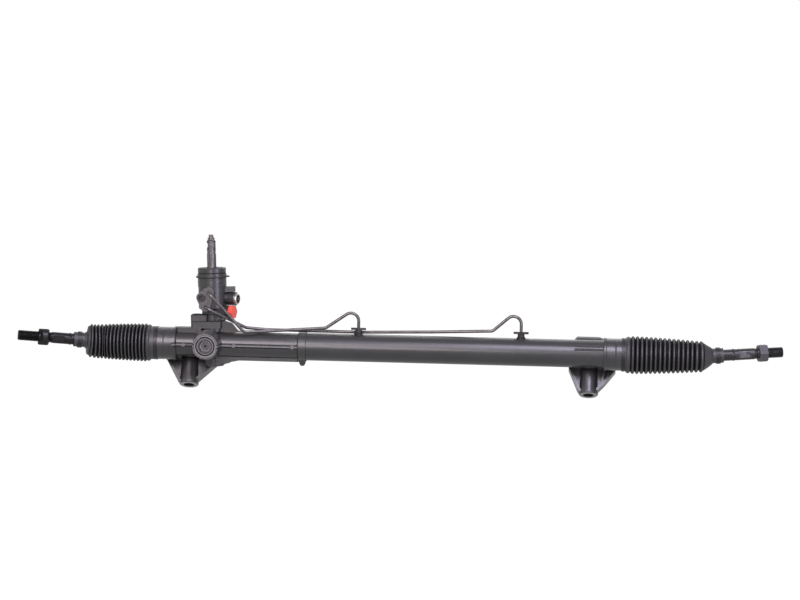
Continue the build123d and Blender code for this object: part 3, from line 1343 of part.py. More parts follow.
def tie_rod_end(end, joint, nut_start, nut_turn, rod_length, cuff_start, cuff_end):
    """Ball housing, liner, tie rod, lock nut and small clamp of one end."""
    centre, along = rod_frame(*joint)
    ball_x, side = joint[:2]
    rack_end = rack_left if side < 0 else rack_right
    outwards = Vector(side, 0, 0)
    rack_face = Plane(origin=(rack_end, rack_y, rack_z), x_dir=(0, 1, 0), z_dir=outwards)
    body_length = abs(ball_x - rack_end) + ball_housing_mouth
    liner_outer = ball_joint_radius + running_gap + liner_thickness
    cavity_radius = liner_outer + running_gap
    swing_edge = math.radians(ball_swing + 2) + math.asin(rod_neck_radius / ball_joint_radius)
    swing_reach = 2 * ball_joint_radius
    swing_plane = Plane(origin=centre, x_dir=outwards, z_dir=(0, 1, 0))
    swing_cone = ((0, 0), (swing_reach, swing_reach * math.tan(swing_edge)), (swing_reach, 0))
    with BuildPart() as ball_housing:
        rod(rack_face, ball_housing_radius, body_length)
        mouth_edge = ball_housing.edges().sort_by(Axis(centre, outwards))[-1]
        chamfer(mouth_edge, liner_thickness * 1.5)
        # Wrench flats beside the rack
        for flat_side in (-1, 1):
            flat_plane = Plane(origin=centre, x_dir=outwards, z_dir=(0, 0, flat_side)).offset(ball_housing_flat_half)
            with BuildSketch(flat_plane) as flat:
                with Locations((ball_housing_flat_length / 2 - abs(ball_x - rack_end), 0)):
                    Rectangle(ball_housing_flat_length, 3 * ball_housing_radius)
            extrude(flat.sketch, amount=ball_housing_radius, mode=Mode.SUBTRACT)
        rod(rack_face, rack_end_hole_radius - thread_gap, 1 - rack_end_hole_depth)
        with BuildSketch(swing_plane) as cavity:
            with BuildLine():
                cavity_arc = CenterArc((0, 0), cavity_radius, 0, 180)
                Line(cavity_arc @ 1, cavity_arc @ 0)
            make_face()
        revolve(cavity.sketch, axis=Axis(centre, outwards), mode=Mode.SUBTRACT)
        turn(swing_plane, Axis(centre, outwards), swing_cone, Mode.SUBTRACT)
    save(ball_housing, f"ball_housing_{end}")

    flat_along = Vector(along.X, along.Y, 0).normalized()
    liner_start = math.degrees(swing_edge)
    with BuildPart() as liner:
        # Cup round the ball, open towards the rod
        with BuildSketch(Plane(origin=centre, x_dir=flat_along, z_dir=(0, 0, 1))) as cup:
            with BuildLine():
                inner_arc = CenterArc((0, 0), ball_joint_radius + running_gap, liner_start, 180 - liner_start)
                outer_arc = CenterArc((0, 0), liner_outer, liner_start, 180 - liner_start)
                Line(inner_arc @ 0, outer_arc @ 0)
                Line(inner_arc @ 1, outer_arc @ 1)
            make_face()
        revolve(cup.sketch, axis=Axis(centre, flat_along))
    save(liner, f"ball_liner_{end}")

    rod_axis = Axis(centre, along)
    rod_plane = Plane(origin=centre, x_dir=along, z_dir=flat_along.cross(Vector(0, 0, 1)))
    across = Plane(origin=centre, z_dir=along)
    neck_start = math.sqrt(ball_joint_radius**2 - rod_neck_radius**2)
    with BuildPart() as tie_rod:
        # Ball, neck and rod turned in one piece
        rod_outline = (
            (neck_start, rod_neck_radius),
            (rod_neck_end - 4, rod_neck_radius),
            (rod_neck_end, rod_radius),
            (rod_ring_start, rod_radius),
            (rod_ring_start, rod_radius + rod_ring_height),
            (rod_ring_start + rod_ring_width, rod_radius + rod_ring_height),
            (rod_ring_start + rod_ring_width, rod_radius),
            (nut_start - rod_shoulder, rod_radius),
            (nut_start - rod_shoulder + 1, rod_core_radius),
            (nut_start + lock_nut_length + rod_thread_gap, rod_core_radius),
            (nut_start + lock_nut_length + rod_thread_gap, rod_thread_radius),
            (rod_length - mount_boss_chamfer, rod_thread_radius),
            (rod_length, rod_thread_radius - mount_boss_chamfer),
            (rod_length, 0),
            (-ball_joint_radius, 0),
        )
        with BuildSketch(rod_plane) as rod_profile:
            with BuildLine():
                Polyline(*rod_outline)
                ThreePointArc((-ball_joint_radius, 0), (0, ball_joint_radius), (neck_start, rod_neck_radius))
            make_face()
        revolve(rod_profile.sketch, axis=rod_axis)
        with BuildSketch(across.offset(rod_flat_start)) as flats:
            Rectangle(4 * rod_radius, 4 * rod_radius)
            Rectangle(2 * rod_flat_half, 4 * rod_radius, mode=Mode.SUBTRACT)
        extrude(flats.sketch, amount=rod_flat_end - rod_flat_start, mode=Mode.SUBTRACT)
    save(tie_rod, f"tie_rod_{end}")

    with BuildPart() as lock_nut:
        hexagon(across.offset(nut_start).rotated((0, 0, nut_turn)), lock_nut_flats, lock_nut_length)
        chamfer_reach = lock_nut_flats / math.sqrt(3)
        nut_profile = (
            (nut_start - 1, lock_nut_flats / 2 - 1),
            (nut_start, lock_nut_flats / 2),
            (nut_start + chamfer_reach - lock_nut_flats / 2, chamfer_reach),
            (nut_start + lock_nut_length - chamfer_reach + lock_nut_flats / 2, chamfer_reach),
            (nut_start + lock_nut_length, lock_nut_flats / 2),
            (nut_start + lock_nut_length + 1, lock_nut_flats / 2 - 1),
            (nut_start + lock_nut_length + 1, 0),
            (nut_start - 1, 0),
        )
        turn(rod_plane, rod_axis, nut_profile, Mode.INTERSECT)
        rod(across.offset(nut_start - 1), rod_core_radius + thread_gap, lock_nut_length + 2, Mode.SUBTRACT)
    save(lock_nut, f"lock_nut_{end}")

    with BuildPart() as rod_clamp:
        clamp_middle = (cuff_start + cuff_end - small_clamp_width) / 2
        clamp_inner = cuff_radius + cuff_wall_gap / 3
        ring(across.offset(clamp_middle), clamp_inner + clamp_band, clamp_inner, small_clamp_width)
    save(rod_clamp, f"rod_clamp_{end}")


def bellows_end(end, joint, seat_end, seat_length, first, last, big, small, cuff_start, cuff_end):
    """Corrugated rubber bellows from a casting's seat to its tie rod, and the large clamp."""
    centre, along = rod_frame(*joint)
    side = joint[1]
    pitch_x = (last - first) / (convolutions - 1)
    crests = []
    for index in range(convolutions):
        crest_x = first + index * pitch_x
        crest_radius = big + (small - big) * (index / (convolutions - 1)) ** 1.5
        crests.append((crest_x, crest_radius))
        crests.append((crest_x + pitch_x / 2, crest_radius - crest_depth))
    neck_end = seat_end - side * (seat_length - cuff_wall_gap)
    clamp_end = neck_end + side * (big_clamp_width + 2 * cuff_wall_gap)
    body_end = crests[-1][0]
    body_outline = (
        (neck_end, bellows_shoulder - clamp_band),
        (clamp_end, bellows_shoulder - clamp_band),
        (clamp_end, bellows_shoulder),
        (clamp_end + side * bellows_roll_reach / 2, big - clamp_band),
        (clamp_end + side * bellows_roll_reach, big - clamp_band / 2),
        (first - pitch_x / 2, big - crest_depth),
        *crests,
        (body_end, 0),
        (neck_end, 0),
    )
    hollow_outline = (
        (neck_end - side, 0),
        (neck_end - side, seat_radius + cuff_wall_gap),
        (seat_end + side * cuff_wall_gap, seat_radius + cuff_wall_gap),
        (seat_end + side * cuff_wall_gap, bellows_bore_radius),
        (body_end, bellows_bore_radius),
        (body_end, 0),
    )
    mouth = Plane(origin=(body_end, rack_y, rack_z), x_dir=(0, 1, 0), z_dir=(side, 0, 0))
    tip = Plane(origin=centre + along * cuff_start, x_dir=(0, 1, 0), z_dir=along)
    cuff_bore = rod_radius + cuff_wall_gap
    with BuildPart() as bellows:
        turn(rack_side, rack_axis, body_outline)
        for base_radius_here, tip_radius_here, mode in (
            (crests[-1][1], cuff_radius, Mode.ADD),
            (bellows_bore_radius, cuff_bore, Mode.SUBTRACT),
        ):
            with BuildSketch(mouth) as cone_base:
                Circle(base_radius_here)
            with BuildSketch(tip) as cone_tip:
                Circle(tip_radius_here)
            loft([cone_base.sketch.face(), cone_tip.sketch.face()], mode=mode)
        rod(tip, cuff_radius, cuff_end - cuff_start)
        rod(tip, cuff_bore, cuff_end - cuff_start + 1, Mode.SUBTRACT)
        turn(rack_side, rack_axis, hollow_outline, Mode.SUBTRACT)
    save(bellows, f"bellows_{end}")

    with BuildPart() as clamp:
        band_radius = bellows_shoulder - clamp_band + cuff_wall_gap / 3
        band_start = min(neck_end, clamp_end) + cuff_wall_gap
        ring(station(band_start), band_radius + clamp_band, band_radius, big_clamp_width)
    save(clamp, f"bellows_clamp_{end}")


left_joint = (ball_joint_left, -1, rod_yaw_left, rod_pitch_left)
right_joint = (ball_joint_right, 1, rod_yaw_right, rod_pitch_right)
tie_rod_end(
    "left", left_joint, lock_nut_start_left, lock_nut_turn_left, rod_length_left, left_cuff_start, left_cuff_end
)
tie_rod_end(
    "right", right_joint, lock_nut_start_right, lock_nut_turn_right, rod_length_right, right_cuff_start, right_cuff_end
)
bellows_end(
    "left",
    left_joint,
    housing_left,
    neck_left - housing_left,
    left_crest_first,
    left_crest_last,
    left_big_radius,
    left_small_radius,
    left_cuff_start,
    left_cuff_end,
)
bellows_end(
    "right",
    right_joint,
    outer_end,
    outer_end - outer_neck_right,
    right_crest_first,
    right_crest_last,
    right_big_radius,
    right_small_radius,
    right_cuff_start,
    right_cuff_end,
)
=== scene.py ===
import json
import math
import bpy
import numpy as np
from mathutils import Matrix, Vector


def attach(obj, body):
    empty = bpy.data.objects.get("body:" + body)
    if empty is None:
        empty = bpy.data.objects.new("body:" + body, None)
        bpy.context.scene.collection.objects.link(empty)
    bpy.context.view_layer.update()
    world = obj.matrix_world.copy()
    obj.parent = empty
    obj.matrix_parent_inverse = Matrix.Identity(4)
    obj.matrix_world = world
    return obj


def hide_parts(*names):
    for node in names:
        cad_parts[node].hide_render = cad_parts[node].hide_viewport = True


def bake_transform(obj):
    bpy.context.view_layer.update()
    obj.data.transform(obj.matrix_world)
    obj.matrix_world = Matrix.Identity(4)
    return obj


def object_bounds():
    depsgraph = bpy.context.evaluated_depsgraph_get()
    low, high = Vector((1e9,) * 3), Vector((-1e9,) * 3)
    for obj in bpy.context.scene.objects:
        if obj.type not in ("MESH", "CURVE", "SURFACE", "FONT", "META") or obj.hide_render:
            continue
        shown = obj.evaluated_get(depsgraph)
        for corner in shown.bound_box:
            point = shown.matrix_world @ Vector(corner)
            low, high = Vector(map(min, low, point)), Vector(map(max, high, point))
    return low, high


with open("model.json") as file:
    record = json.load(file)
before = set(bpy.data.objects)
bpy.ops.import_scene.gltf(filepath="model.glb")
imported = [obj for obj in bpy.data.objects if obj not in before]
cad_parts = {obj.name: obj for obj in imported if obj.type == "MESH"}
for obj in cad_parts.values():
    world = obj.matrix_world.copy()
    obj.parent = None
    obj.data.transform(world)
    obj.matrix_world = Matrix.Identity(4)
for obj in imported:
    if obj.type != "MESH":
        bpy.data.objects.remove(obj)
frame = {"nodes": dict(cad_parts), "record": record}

print("stage: frame loaded")
packedBox = [list(corner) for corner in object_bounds()]
nodes = frame["nodes"]

# Places are in millimetres of the shared frame, and become metres where a mesh or a shader takes them
mm = 0.001
rackY, rackZ = -5.949394, 62.853836  # the rack's axis
yokeX = 29.5  # middle of the yoke's plug
footTilt = math.radians(24.0)  # lean of both mounting bores
towerLean = math.radians(2.4)
towerUp = np.array([-math.sin(towerLean), 0, math.cos(towerLean)])
towerMiddle = np.array([35.5, rackY + 14.5, rackZ])


# One value in a shader, with arithmetic, so that a finish reads as a formula
class Flow:
    def __init__(self, tree, socket):
        self.tree, self.socket = tree, socket

    # Any node: its settings first, then a value or a link for each named or numbered input
    def node(self, kind, output, settings=None, **inputs):
        made = self.tree.nodes.new(kind)
        for key, value in (settings or {}).items():
            setattr(made, key, value)
        for key, value in inputs.items():
            numbered = key[0] == "i" and key[1:].isdigit()
            self.feed(made.inputs[int(key[1:]) if numbered else key.replace("_", " ")], value)
        return Flow(self.tree, made.outputs[output])

    # A link from a Flow, or a plain value; three numbers become an opaque colour on a colour's input
    def feed(self, place, value):
        if isinstance(value, Flow):
            self.tree.links.new(value.socket, place)
            return
        sizes = [len(item) if hasattr(item, "__len__") else 0 for item in (value, place.default_value)]
        place.default_value = (*value, 1) if sizes == [3, 4] else value

    def math(self, operation, *others):
        numbered = {f"i{k + 1}": value for k, value in enumerate(others)}
        return self.node("ShaderNodeMath", 0, {"operation": operation}, i0=self, **numbered)

    def vector(self, operation, output, **inputs):
        return self.node("ShaderNodeVectorMath", output, {"operation": operation}, i0=self, **inputs)

    def __add__(self, other):
        return self.math("ADD", other)

    def __sub__(self, other):
        return self.math("SUBTRACT", other)

    def __mul__(self, other):
        return self.math("MULTIPLY", other)

    def __rsub__(self, other):
        return self.math("MULTIPLY", -1) + other

    __radd__ = __add__
    __rmul__ = __mul__

    # The larger of this and each other mask
    def either(self, *others):
        largest = self
        for other in others:
            largest = largest.math("MAXIMUM", other)
        return largest

    # 0 below low, 1 above high and a smooth rise between them
    def step(self, low, high):
        rise = {"interpolation_type": "SMOOTHSTEP"}
        return self.node("ShaderNodeMapRange", 0, rise, Value=self, From_Min=low, From_Max=high)

    def noise(self, scale, detail=3.0, rough=0.5):
        texture = {"Scale": scale, "Detail": detail, "Roughness": rough}
        return self.node("ShaderNodeTexNoise", 0, None, Vector=self, **texture)

    def cells(self, scale):
        return self.node("ShaderNodeTexVoronoi", "Distance", {"feature": "F1"}, Vector=self, Scale=scale)

    def stretch(self, x, y, z):
        return self.vector("MULTIPLY", 0, i1=(x, y, z))

    # The vector from a centre, given in millimetres
    def apart(self, centre):
        return self.vector("SUBTRACT", 0, i1=tuple(c * mm for c in centre))

    def along(self, direction):
        return self.vector("DOT_PRODUCT", "Value", i1=tuple(direction))

    def length(self):
        return self.vector("LENGTH", "Value")

    # 1 near the value, 0 further off than the reach
    def near(self, value, reach):
        return 1 - (self - value).math("ABSOLUTE").step(reach * 0.5, reach)

    def part(self, axis):
        return self.node("ShaderNodeSeparateXYZ", axis, None, Vector=self)

    # A mask between two colours: the first where it is 0, the second where it is 1
    def between(self, first, second):
        return self.node("ShaderNodeMix", 2, {"data_type": "RGBA"}, i0=self, i6=first, i7=second)


# A material: fixed values go on the shader, build(place) gives the values that vary over the surface, and a
# "height" of (pattern, depth) becomes a bump
def finish(name, build, **fixed):
    material = bpy.data.materials.new(name)
    material.use_nodes = True
    tree = material.node_tree
    shader = tree.nodes["Principled BSDF"]
    place = Flow(tree, tree.nodes.new("ShaderNodeTexCoord").outputs["Object"])
    parts = build(place)
    if "height" in parts:
        pattern, depth = parts.pop("height")
        bump = {"Height": pattern, "Distance": depth, "Strength": 1.0}
        parts["Normal"] = pattern.node("ShaderNodeBump", 0, None, **bump)
    for key, value in {**fixed, **parts}.items():
        place.feed(shader.inputs[key.replace("_", " ")], value)
    return material


# Where the castings get painted highlights, painted shade, dark seams and pale mouths, in metres, except
# for the pads' middles; a pair is the start and end of a smooth edge, or a place and the reach round it
castMarks = {
    "padMiddles": (-6.3, 69.8, 157.5),
    "padEdge": (0.0026, 0.0032),
    "ribHalfWidth": (0.0009, 0.0014),
    "ribCrestDepth": (-0.0262, -0.0248),
    "ribRootDepth": (-0.021, -0.018),
    "ribStart": (-0.024, -0.022),
    "ribEnd": (0.166, 0.167),
    "paintedShadeBesideRib": (0.0023, 0.0013),
    "collarEdges": ((0.1655, 0.0012), (0.1782, 0.0012)),
    "noShadeAbove": (0.086, 0.088),
    "towerSeams": (0.0347, 0.0449, 0.1004, 0.1068),
    "seamReach": 0.0011,
    "mouthDepth": (0.00015, 0.0005),
    "yokeRims": ((0.0182, 0.0011), (0.0166, 0.0004)),
    "yokeFrontDepth": (-0.036, -0.032),
}


# Satin black over a casting: fine sand grain, slow waves in the paint and a little dust. The machined
# mouths of the feet are pale and partly metallic, as bare metal, and that paleness is also painted light
# from below. Painted highlights go round the rims of the yoke's boss and along the parting rib with its
# pads, painted shade lies beside the rib and at both edges of the collar, and the tower's seams are dark
def castPaint(place):
    marks = castMarks
    sideways, depth, height = (place.part(axis) for axis in range(3))
    fromRib = (height - rackZ * mm).math("ABSOLUTE")
    onCrest = 1 - depth.step(*marks["ribCrestDepth"])
    byRib = (1 - depth.step(*marks["ribRootDepth"])) * sideways.step(*marks["ribStart"])
    byRib = byRib * (1 - sideways.step(*marks["ribEnd"]))
    flat = place.apart((0, 0, rackZ)).stretch(1, 0, 1)
    pads = [1 - flat.apart((x, 0, 0)).length().step(*marks["padEdge"]) for x in marks["padMiddles"]]
    # painted highlight: the parting rib's crest and its pads are made paler where they face the front
    # light, broken up by noise
    ribHighlight = (1 - fromRib.step(*marks["ribHalfWidth"])).either(*pads) * onCrest
    ribHighlight = ribHighlight * byRib * (0.5 + 0.5 * place.noise(260, 4, 0.6).step(0.3, 0.6))
    # painted shade: dark lines beside the rib and at both edges of the collar, kept below a height; the
    # tower's seams are made dark as well
    paintedShadeAndSeams = fromRib.near(*marks["paintedShadeBesideRib"]) * byRib * (1 - ribHighlight)
    paintedShadeAndSeams = paintedShadeAndSeams.either(*[sideways.near(*edge) for edge in marks["collarEdges"]])
    paintedShadeAndSeams = paintedShadeAndSeams * (1 - height.step(*marks["noShadeAbove"]))
    upTower = place.apart(towerMiddle).along(towerUp)
    paintedShadeAndSeams = paintedShadeAndSeams.either(*[upTower.near(seam, marks["seamReach"]) for seam in marks["towerSeams"]])
    grain = place.noise(1500, 4, 0.6)
    waves = place.noise(90, 2)
    dust = place.noise(420, 5, 0.7).step(0.62, 0.8)
    tone = place.noise(18, 4, 0.6).step(0.3, 0.7).between((0.0125, 0.0113, 0.012), (0.022, 0.02, 0.0215))
    # The feet's mouths: pale and partly metallic as bare metal, and the paleness is also painted light from
    # below on these down-facing faces
    upBore = place.along((0, math.sin(footTilt), math.cos(footTilt)))
    mouth = 1 - upBore.step(*marks["mouthDepth"])
    # painted highlight: the rims of the yoke's boss are made paler at the front, broken up by noise
    fromYoke = place.apart((yokeX, 0, rackZ)).stretch(1, 0, 1).length()
    outer, inner = [fromYoke.near(*rim) for rim in marks["yokeRims"]]
    rim = outer.either(inner) * (1 - depth.step(*marks["yokeFrontDepth"]))
    rimHighlight = rim * (0.35 + 0.65 * place.noise(300, 4, 0.6).step(0.35, 0.6))
    painted = (dust * 0.16).between(tone, (0.15, 0.14, 0.14))
    # the painted highlights of the yoke's rims and the rib go into the colour
    paintedHighlight = (rimHighlight * 0.6).either(ribHighlight * 0.55).between(painted, (0.22, 0.21, 0.215))
    # the painted shade by the rib and the collar, and the dark tower seams, go into the colour, the
    # roughness and the coat
    withShadeAndSeams = (paintedShadeAndSeams * 0.85).between(paintedHighlight, (0.004, 0.0037, 0.004))
    return {
        "Base Color": (mouth * 0.8).between(withShadeAndSeams, (0.34, 0.325, 0.33)),
        "Roughness": 0.36 + waves * 0.12 + dust * 0.12 + paintedShadeAndSeams * 0.4,
        "Coat Weight": 0.7 - paintedShadeAndSeams * 0.66,
        "Metallic": mouth * 0.7,
        "height": (grain * 0.5 + waves, 0.00009),
    }


# The same paint over drawn tube, with faint rings and long streaks
def tubePaint(place):
    streaks = place.stretch(6, 240, 240).noise(1.0, 3)
    waves = place.noise(60, 2)
    dust = place.noise(520, 5, 0.7).step(0.64, 0.8)
    tone = place.noise(14, 3).step(0.3, 0.7).between((0.009, 0.0085, 0.0095), (0.014, 0.0133, 0.015))
    return {
        "Base Color": (dust * 0.12).between(tone, (0.15, 0.14, 0.14)),
        "Roughness": 0.4 + waves * 0.1 + streaks * 0.06,
        "height": (place.noise(1300, 3, 0.6) * 0.25 + waves * 1.2 + streaks * 0.3, 0.00016),
    }


# Moulded rubber with a fine skin, paler with bloom where dust settles
def rubberSkin(place):
    skin = place.noise(2600, 3, 0.6)
    bloom = place.noise(45, 5, 0.65).step(0.35, 0.8)
    return {
        "Base Color": bloom.between((0.012, 0.0112, 0.0118), (0.025, 0.0237, 0.0252)),
        "Roughness": 0.44 + bloom * 0.14 + skin * 0.06,
        "height": (skin * 0.4 + place.noise(160, 2) * 0.8, 0.00014),
    }


# Rubber of the bellows with painted light, by the mesh's own "fold" value: painted shade in the folds and a
# painted highlight on the crests, which also get more coat
def bellowsSkinPaintedLight(place):
    # painted light: near black in the valleys, paler towards each crest as a painted highlight
    crest = place.node("ShaderNodeAttribute", "Fac", {"attribute_name": "fold"}).step(0.35, 0.95)
    return {
        **rubberSkin(place),
        "Base Color": crest.between((0.0035, 0.0032, 0.0036), (0.042, 0.0392, 0.0425)),
        "Coat Weight": 0.04 + crest * 0.4,
        "height": (place.noise(160, 2), 0.00005),
    }


# Turned steel under a dark phosphate coat, with fine rings and pale streaks along it that are painted
# reflections
def darkTurned(place):
    marks = place.stretch(150, 150, 4200).noise(1.0, 2, 0.5)
    # painted reflection: pale streaks running along the shaft
    reflectionStreaks = place.stretch(900, 900, 30).noise(1.0, 3, 0.6).step(0.5, 0.75)
    return {
        "Base Color": reflectionStreaks.between((0.13, 0.121, 0.123), (0.45, 0.425, 0.43)),
        "Roughness": 0.3 + marks * 0.14,
        "height": (marks * 0.5 + place.noise(900, 3) * 0.3, 0.00004),
    }


# Grey phosphated plate, matt and lightly mottled, with a few scratches
def greyPlate(place):
    mottle = place.noise(240, 4, 0.65)
    scratches = place.stretch(300, 2600, 300).noise(1.0, 2).step(0.66, 0.75)
    pale = mottle.step(0.3, 0.75) + scratches * 0.3
    return {
        "Base Color": pale.between((0.085, 0.08, 0.082), (0.125, 0.118, 0.121)),
        "Roughness": 0.42 + mottle * 0.12,
        "height": (mottle * 0.6 + place.noise(1700, 3) * 0.4, 0.00008),
    }


# The same plate on the lock nuts, the left one painted darker as painted shade
def nutPlate(place):
    onRight = place.part(0).step(-0.1, 0.5)
    tone = onRight.between((0.02, 0.0187, 0.0193), (0.12, 0.115, 0.125))
    return {**greyPlate(place), "Base Color": tone}


# Radii and half widths on the yoke's plug, in metres: a place and the reach round it, or an edge's start
# and end
plugMarks = {
    "stakedRing": (0.0154, 0.0008),
    "turnedRing": (0.0117, 0.0006),
    "hexagonEdge": (0.0069, 0.0006),
    "hexagonFloor": (0.0062, 0.0066),
    "groove": (0.0137, 0.0013),
    "hole": (0.0014, 0.0018),
    "holeRim": (0.0016, 0.002),
}


# The yoke's plug: dark oiled steel, with painted highlights along its turned rings, its staking marks and
# the edges of its hexagon, and painted shade in its groove and centre hole
def plugSteel(place):
    marks = plugMarks
    around = place.apart((yokeX, 0, rackZ)).stretch(1, 0, 1)
    radius = around.length()
    normals = [(0, 0, 1)] + [(math.cos(math.radians(30)), 0, slope) for slope in (0.5, -0.5)]
    flats = [around.along(normal).math("ABSOLUTE") for normal in normals]
    toFlat = flats[0].either(*flats[1:])
    patchy = place.noise(700, 4, 0.6).step(0.3, 0.6)
    # painted highlights on the turned rings, the staking marks and the hexagon's edges
    rings = radius.near(*marks["stakedRing"]).either(radius.near(*marks["turnedRing"]) * 0.8)
    bright = rings.either(toFlat.near(*marks["hexagonEdge"]) * 0.9)
    onFloor = (1 - toFlat.step(*marks["hexagonFloor"])) * radius.step(*marks["holeRim"])
    # painted shade: the groove and the centre hole are made nearly black
    groove = radius.near(*marks["groove"]).either(1 - radius.step(*marks["hole"]))
    face = (groove * 0.9).between((0.06, 0.056, 0.058), (0.005, 0.0047, 0.005))
    tone = (bright * (0.4 + 0.6 * patchy)).between(face, (0.32, 0.31, 0.32))
    return {
        "Base Color": (onFloor * 0.35).between(tone, (0.13, 0.125, 0.134)),
        "Roughness": 0.34 + patchy * 0.14,
        "height": (place.noise(1600, 3) * 0.5, 0.00005),
    }


# Ground steel: bright, with fine lines across the rack
def groundSteel(place):
    lines = place.stretch(3000, 260, 260).noise(1.0, 3, 0.6)
    return {
        "Base Color": place.noise(60, 3).step(0.3, 0.7).between((0.46, 0.46, 0.47), (0.6, 0.6, 0.61)),
        "Roughness": 0.16 + lines * 0.16,
        "height": (lines, 0.00002),
    }


# Zinc plate: bright, faintly clouded, with turning marks
def zincPlate(place):
    cloud = place.noise(320, 4, 0.6)
    return {
        "Base Color": cloud.step(0.3, 0.75).between((0.58, 0.56, 0.52), (0.78, 0.77, 0.74)),
        "Roughness": 0.2 + cloud * 0.2,
        "height": (place.stretch(900, 900, 900).noise(1.0, 2), 0.00003),
    }


# Black oxide: nearly black with oily patches and bare glints where it is handled
def blackOxide(place):
    oil = place.noise(140, 4, 0.6)
    glints = place.noise(900, 4, 0.65).step(0.66, 0.78)
    tone = oil.step(0.3, 0.75).between((0.03, 0.028, 0.029), (0.06, 0.056, 0.056))
    return {
        "Base Color": (glints * 0.5).between(tone, (0.3, 0.28, 0.27)),
        "Roughness": 0.3 + oil * 0.2,
        "height": (place.noise(1800, 3) * 0.5, 0.00006),
    }


# Painted pipe: a smooth drift in the paint and small chips that show paler metal
def pipePaint(place):
    drift = place.noise(50, 3)
    chips = place.noise(1200, 4, 0.65).step(0.68, 0.8)
    tone = drift.step(0.3, 0.75).between((0.09, 0.082, 0.081), (0.14, 0.129, 0.128))
    return {
        "Base Color": (chips * 0.5).between(tone, (0.27, 0.255, 0.25)),
        "Roughness": 0.24 + drift * 0.14,
        "height": (place.noise(1500, 3) * 0.4 + drift, 0.0001),
    }


# Soft red plastic, faintly clouded
def redPlastic(place):
    cloud = place.noise(260, 3)
    return {
        "Base Color": cloud.step(0.3, 0.75).between((0.86, 0.07, 0.045), (0.98, 0.13, 0.085)),
        "Roughness": 0.26 + cloud * 0.14,
        "height": (place.noise(900, 2), 0.00004),
    }


# Pale bearing plastic, faintly clouded
def palePlastic(place):
    cloud = place.noise(200, 3)
    return {
        "Base Color": cloud.step(0.3, 0.75).between((0.62, 0.6, 0.52), (0.74, 0.72, 0.64)),
        "Roughness": 0.4 + cloud * 0.12,
        "height": (place.noise(1100, 2), 0.00003),
    }


# Sintered bronze, with a pore in each small cell
def bronzeFace(place):
    pores = place.cells(2200)
    return {
        "Base Color": place.noise(90, 3).step(0.3, 0.7).between((0.5, 0.33, 0.15), (0.66, 0.47, 0.24)),
        "Roughness": 0.3 + pores * 0.2,
        "height": (pores, 0.00005),
    }


castCoat = {"Coat_Roughness": 0.25, "Specular_IOR_Level": 0.6}
tubeCoat = {"Coat_Weight": 0.8, "Coat_Roughness": 0.24, "Specular_IOR_Level": 0.6}
pipeCoat = {"Metallic": 0.7, "Coat_Weight": 0.6, "Coat_Roughness": 0.22}
plugGlow = {"Subsurface_Weight": 0.1, "Subsurface_Radius": (0.003, 0.001, 0.001)}
finishes = {
    "casting": finish("satinBlackCasting", castPaint, **castCoat),
    "tube_paint": finish("satinBlackTube", tubePaint, **tubeCoat),
    "valve_casting": finish("satinBlackValve", castPaint, **castCoat),
    "dark_steel": finish("phosphatedSteel", darkTurned, Metallic=0.85),
    "bright_steel": finish("groundSteel", groundSteel, Metallic=1.0),
    "zinc_steel": finish("zincPlate", zincPlate, Metallic=1.0),
    "rubber": finish("bellowsRubber", bellowsSkinPaintedLight, Coat_Roughness=0.4),
    "black_oxide": finish("blackOxideSteel", blackOxide, Metallic=0.7),
    "pipe_paint": finish("paintedPipe", pipePaint, **pipeCoat),
    "red_plastic": finish("redPlugPlastic", redPlastic, **plugGlow),
    "bearing_plastic": finish("bearingPlastic", palePlastic),
    "bronze": finish("sinteredBronze", bronzeFace, Metallic=1.0),
    "seal_rubber": finish("sealRubber", rubberSkin),
    "aluminium": finish("turnedAluminium", groundSteel, Metallic=1.0),
}
nutFinish = finish("phosphatedNut", nutPlate, Metallic=0.75, Coat_Weight=0.2)
special = {
    "pipe_flange": finish("phosphatedPlate", greyPlate, Metallic=0.5),
    "yoke_plug": finish("oiledPlugSteel", plugSteel, Metallic=0.6),
    "lock_nut_left": nutFinish,
    "lock_nut_right": nutFinish,
}
for subpart in frame["record"]["subparts"]:
    for slot in nodes[subpart["node"]].material_slots:
        slot.material = special.get(subpart["node"], finishes[subpart["material_slot"]])
print("stage: finishes made")


# An object in the scene's own collection, at the origin unless a matrix places it
def addObject(name, data, matrix=None):
    made = bpy.data.objects.new(name, data)
    bpy.context.collection.objects.link(made)
    if matrix is not None:
        made.matrix_world = matrix
    return made


# A smooth-shaded mesh piece from points in millimetres, sharp where faces meet at more than the given
# angle; fold is a value for each point, the painted light of the bellows, which the bellows' finish reads
def addPiece(name, points, faces, slotName, sharpAngle, fold=None):
    mesh = bpy.data.meshes.new(name)
    mesh.from_pydata((np.asarray(points) * mm).tolist(), [], [list(map(int, face)) for face in faces])
    mesh.validate()
    if fold is not None:
        values = mesh.attributes.new("fold", "FLOAT", "POINT").data
        values.foreach_set("value", np.asarray(fold, np.float32))
    mesh.materials.append(finishes[slotName])
    mesh.polygons.foreach_set("use_smooth", np.ones(len(mesh.polygons), bool))
    mesh.set_sharp_from_angle(angle=math.radians(sharpAngle))
    made = addObject(name, mesh)
    return made


# Faces of a grid of rows of points that each close on themselves; the rows close too if looped, else both
# ends are capped
def tubeFaces(rows, columns, looped):
    row = np.arange(rows if looped else rows - 1)[:, None]
    column = np.arange(columns)[None, :]
    here, ahead = row * columns, (row + 1) % rows * columns
    beside = (column + 1) % columns
    quads = np.stack([here + column, here + beside, ahead + beside, ahead + column], -1)
    faces = list(quads.reshape(-1, 4))
    if not looped:
        faces.append(np.arange(columns)[::-1])
        faces.append(np.arange(columns) + (rows - 1) * columns)
    return faces


# Angles of evenly spaced points round a circle
def anglesRound(columns):
    return np.linspace(0, 2 * math.pi, columns, endpoint=False)


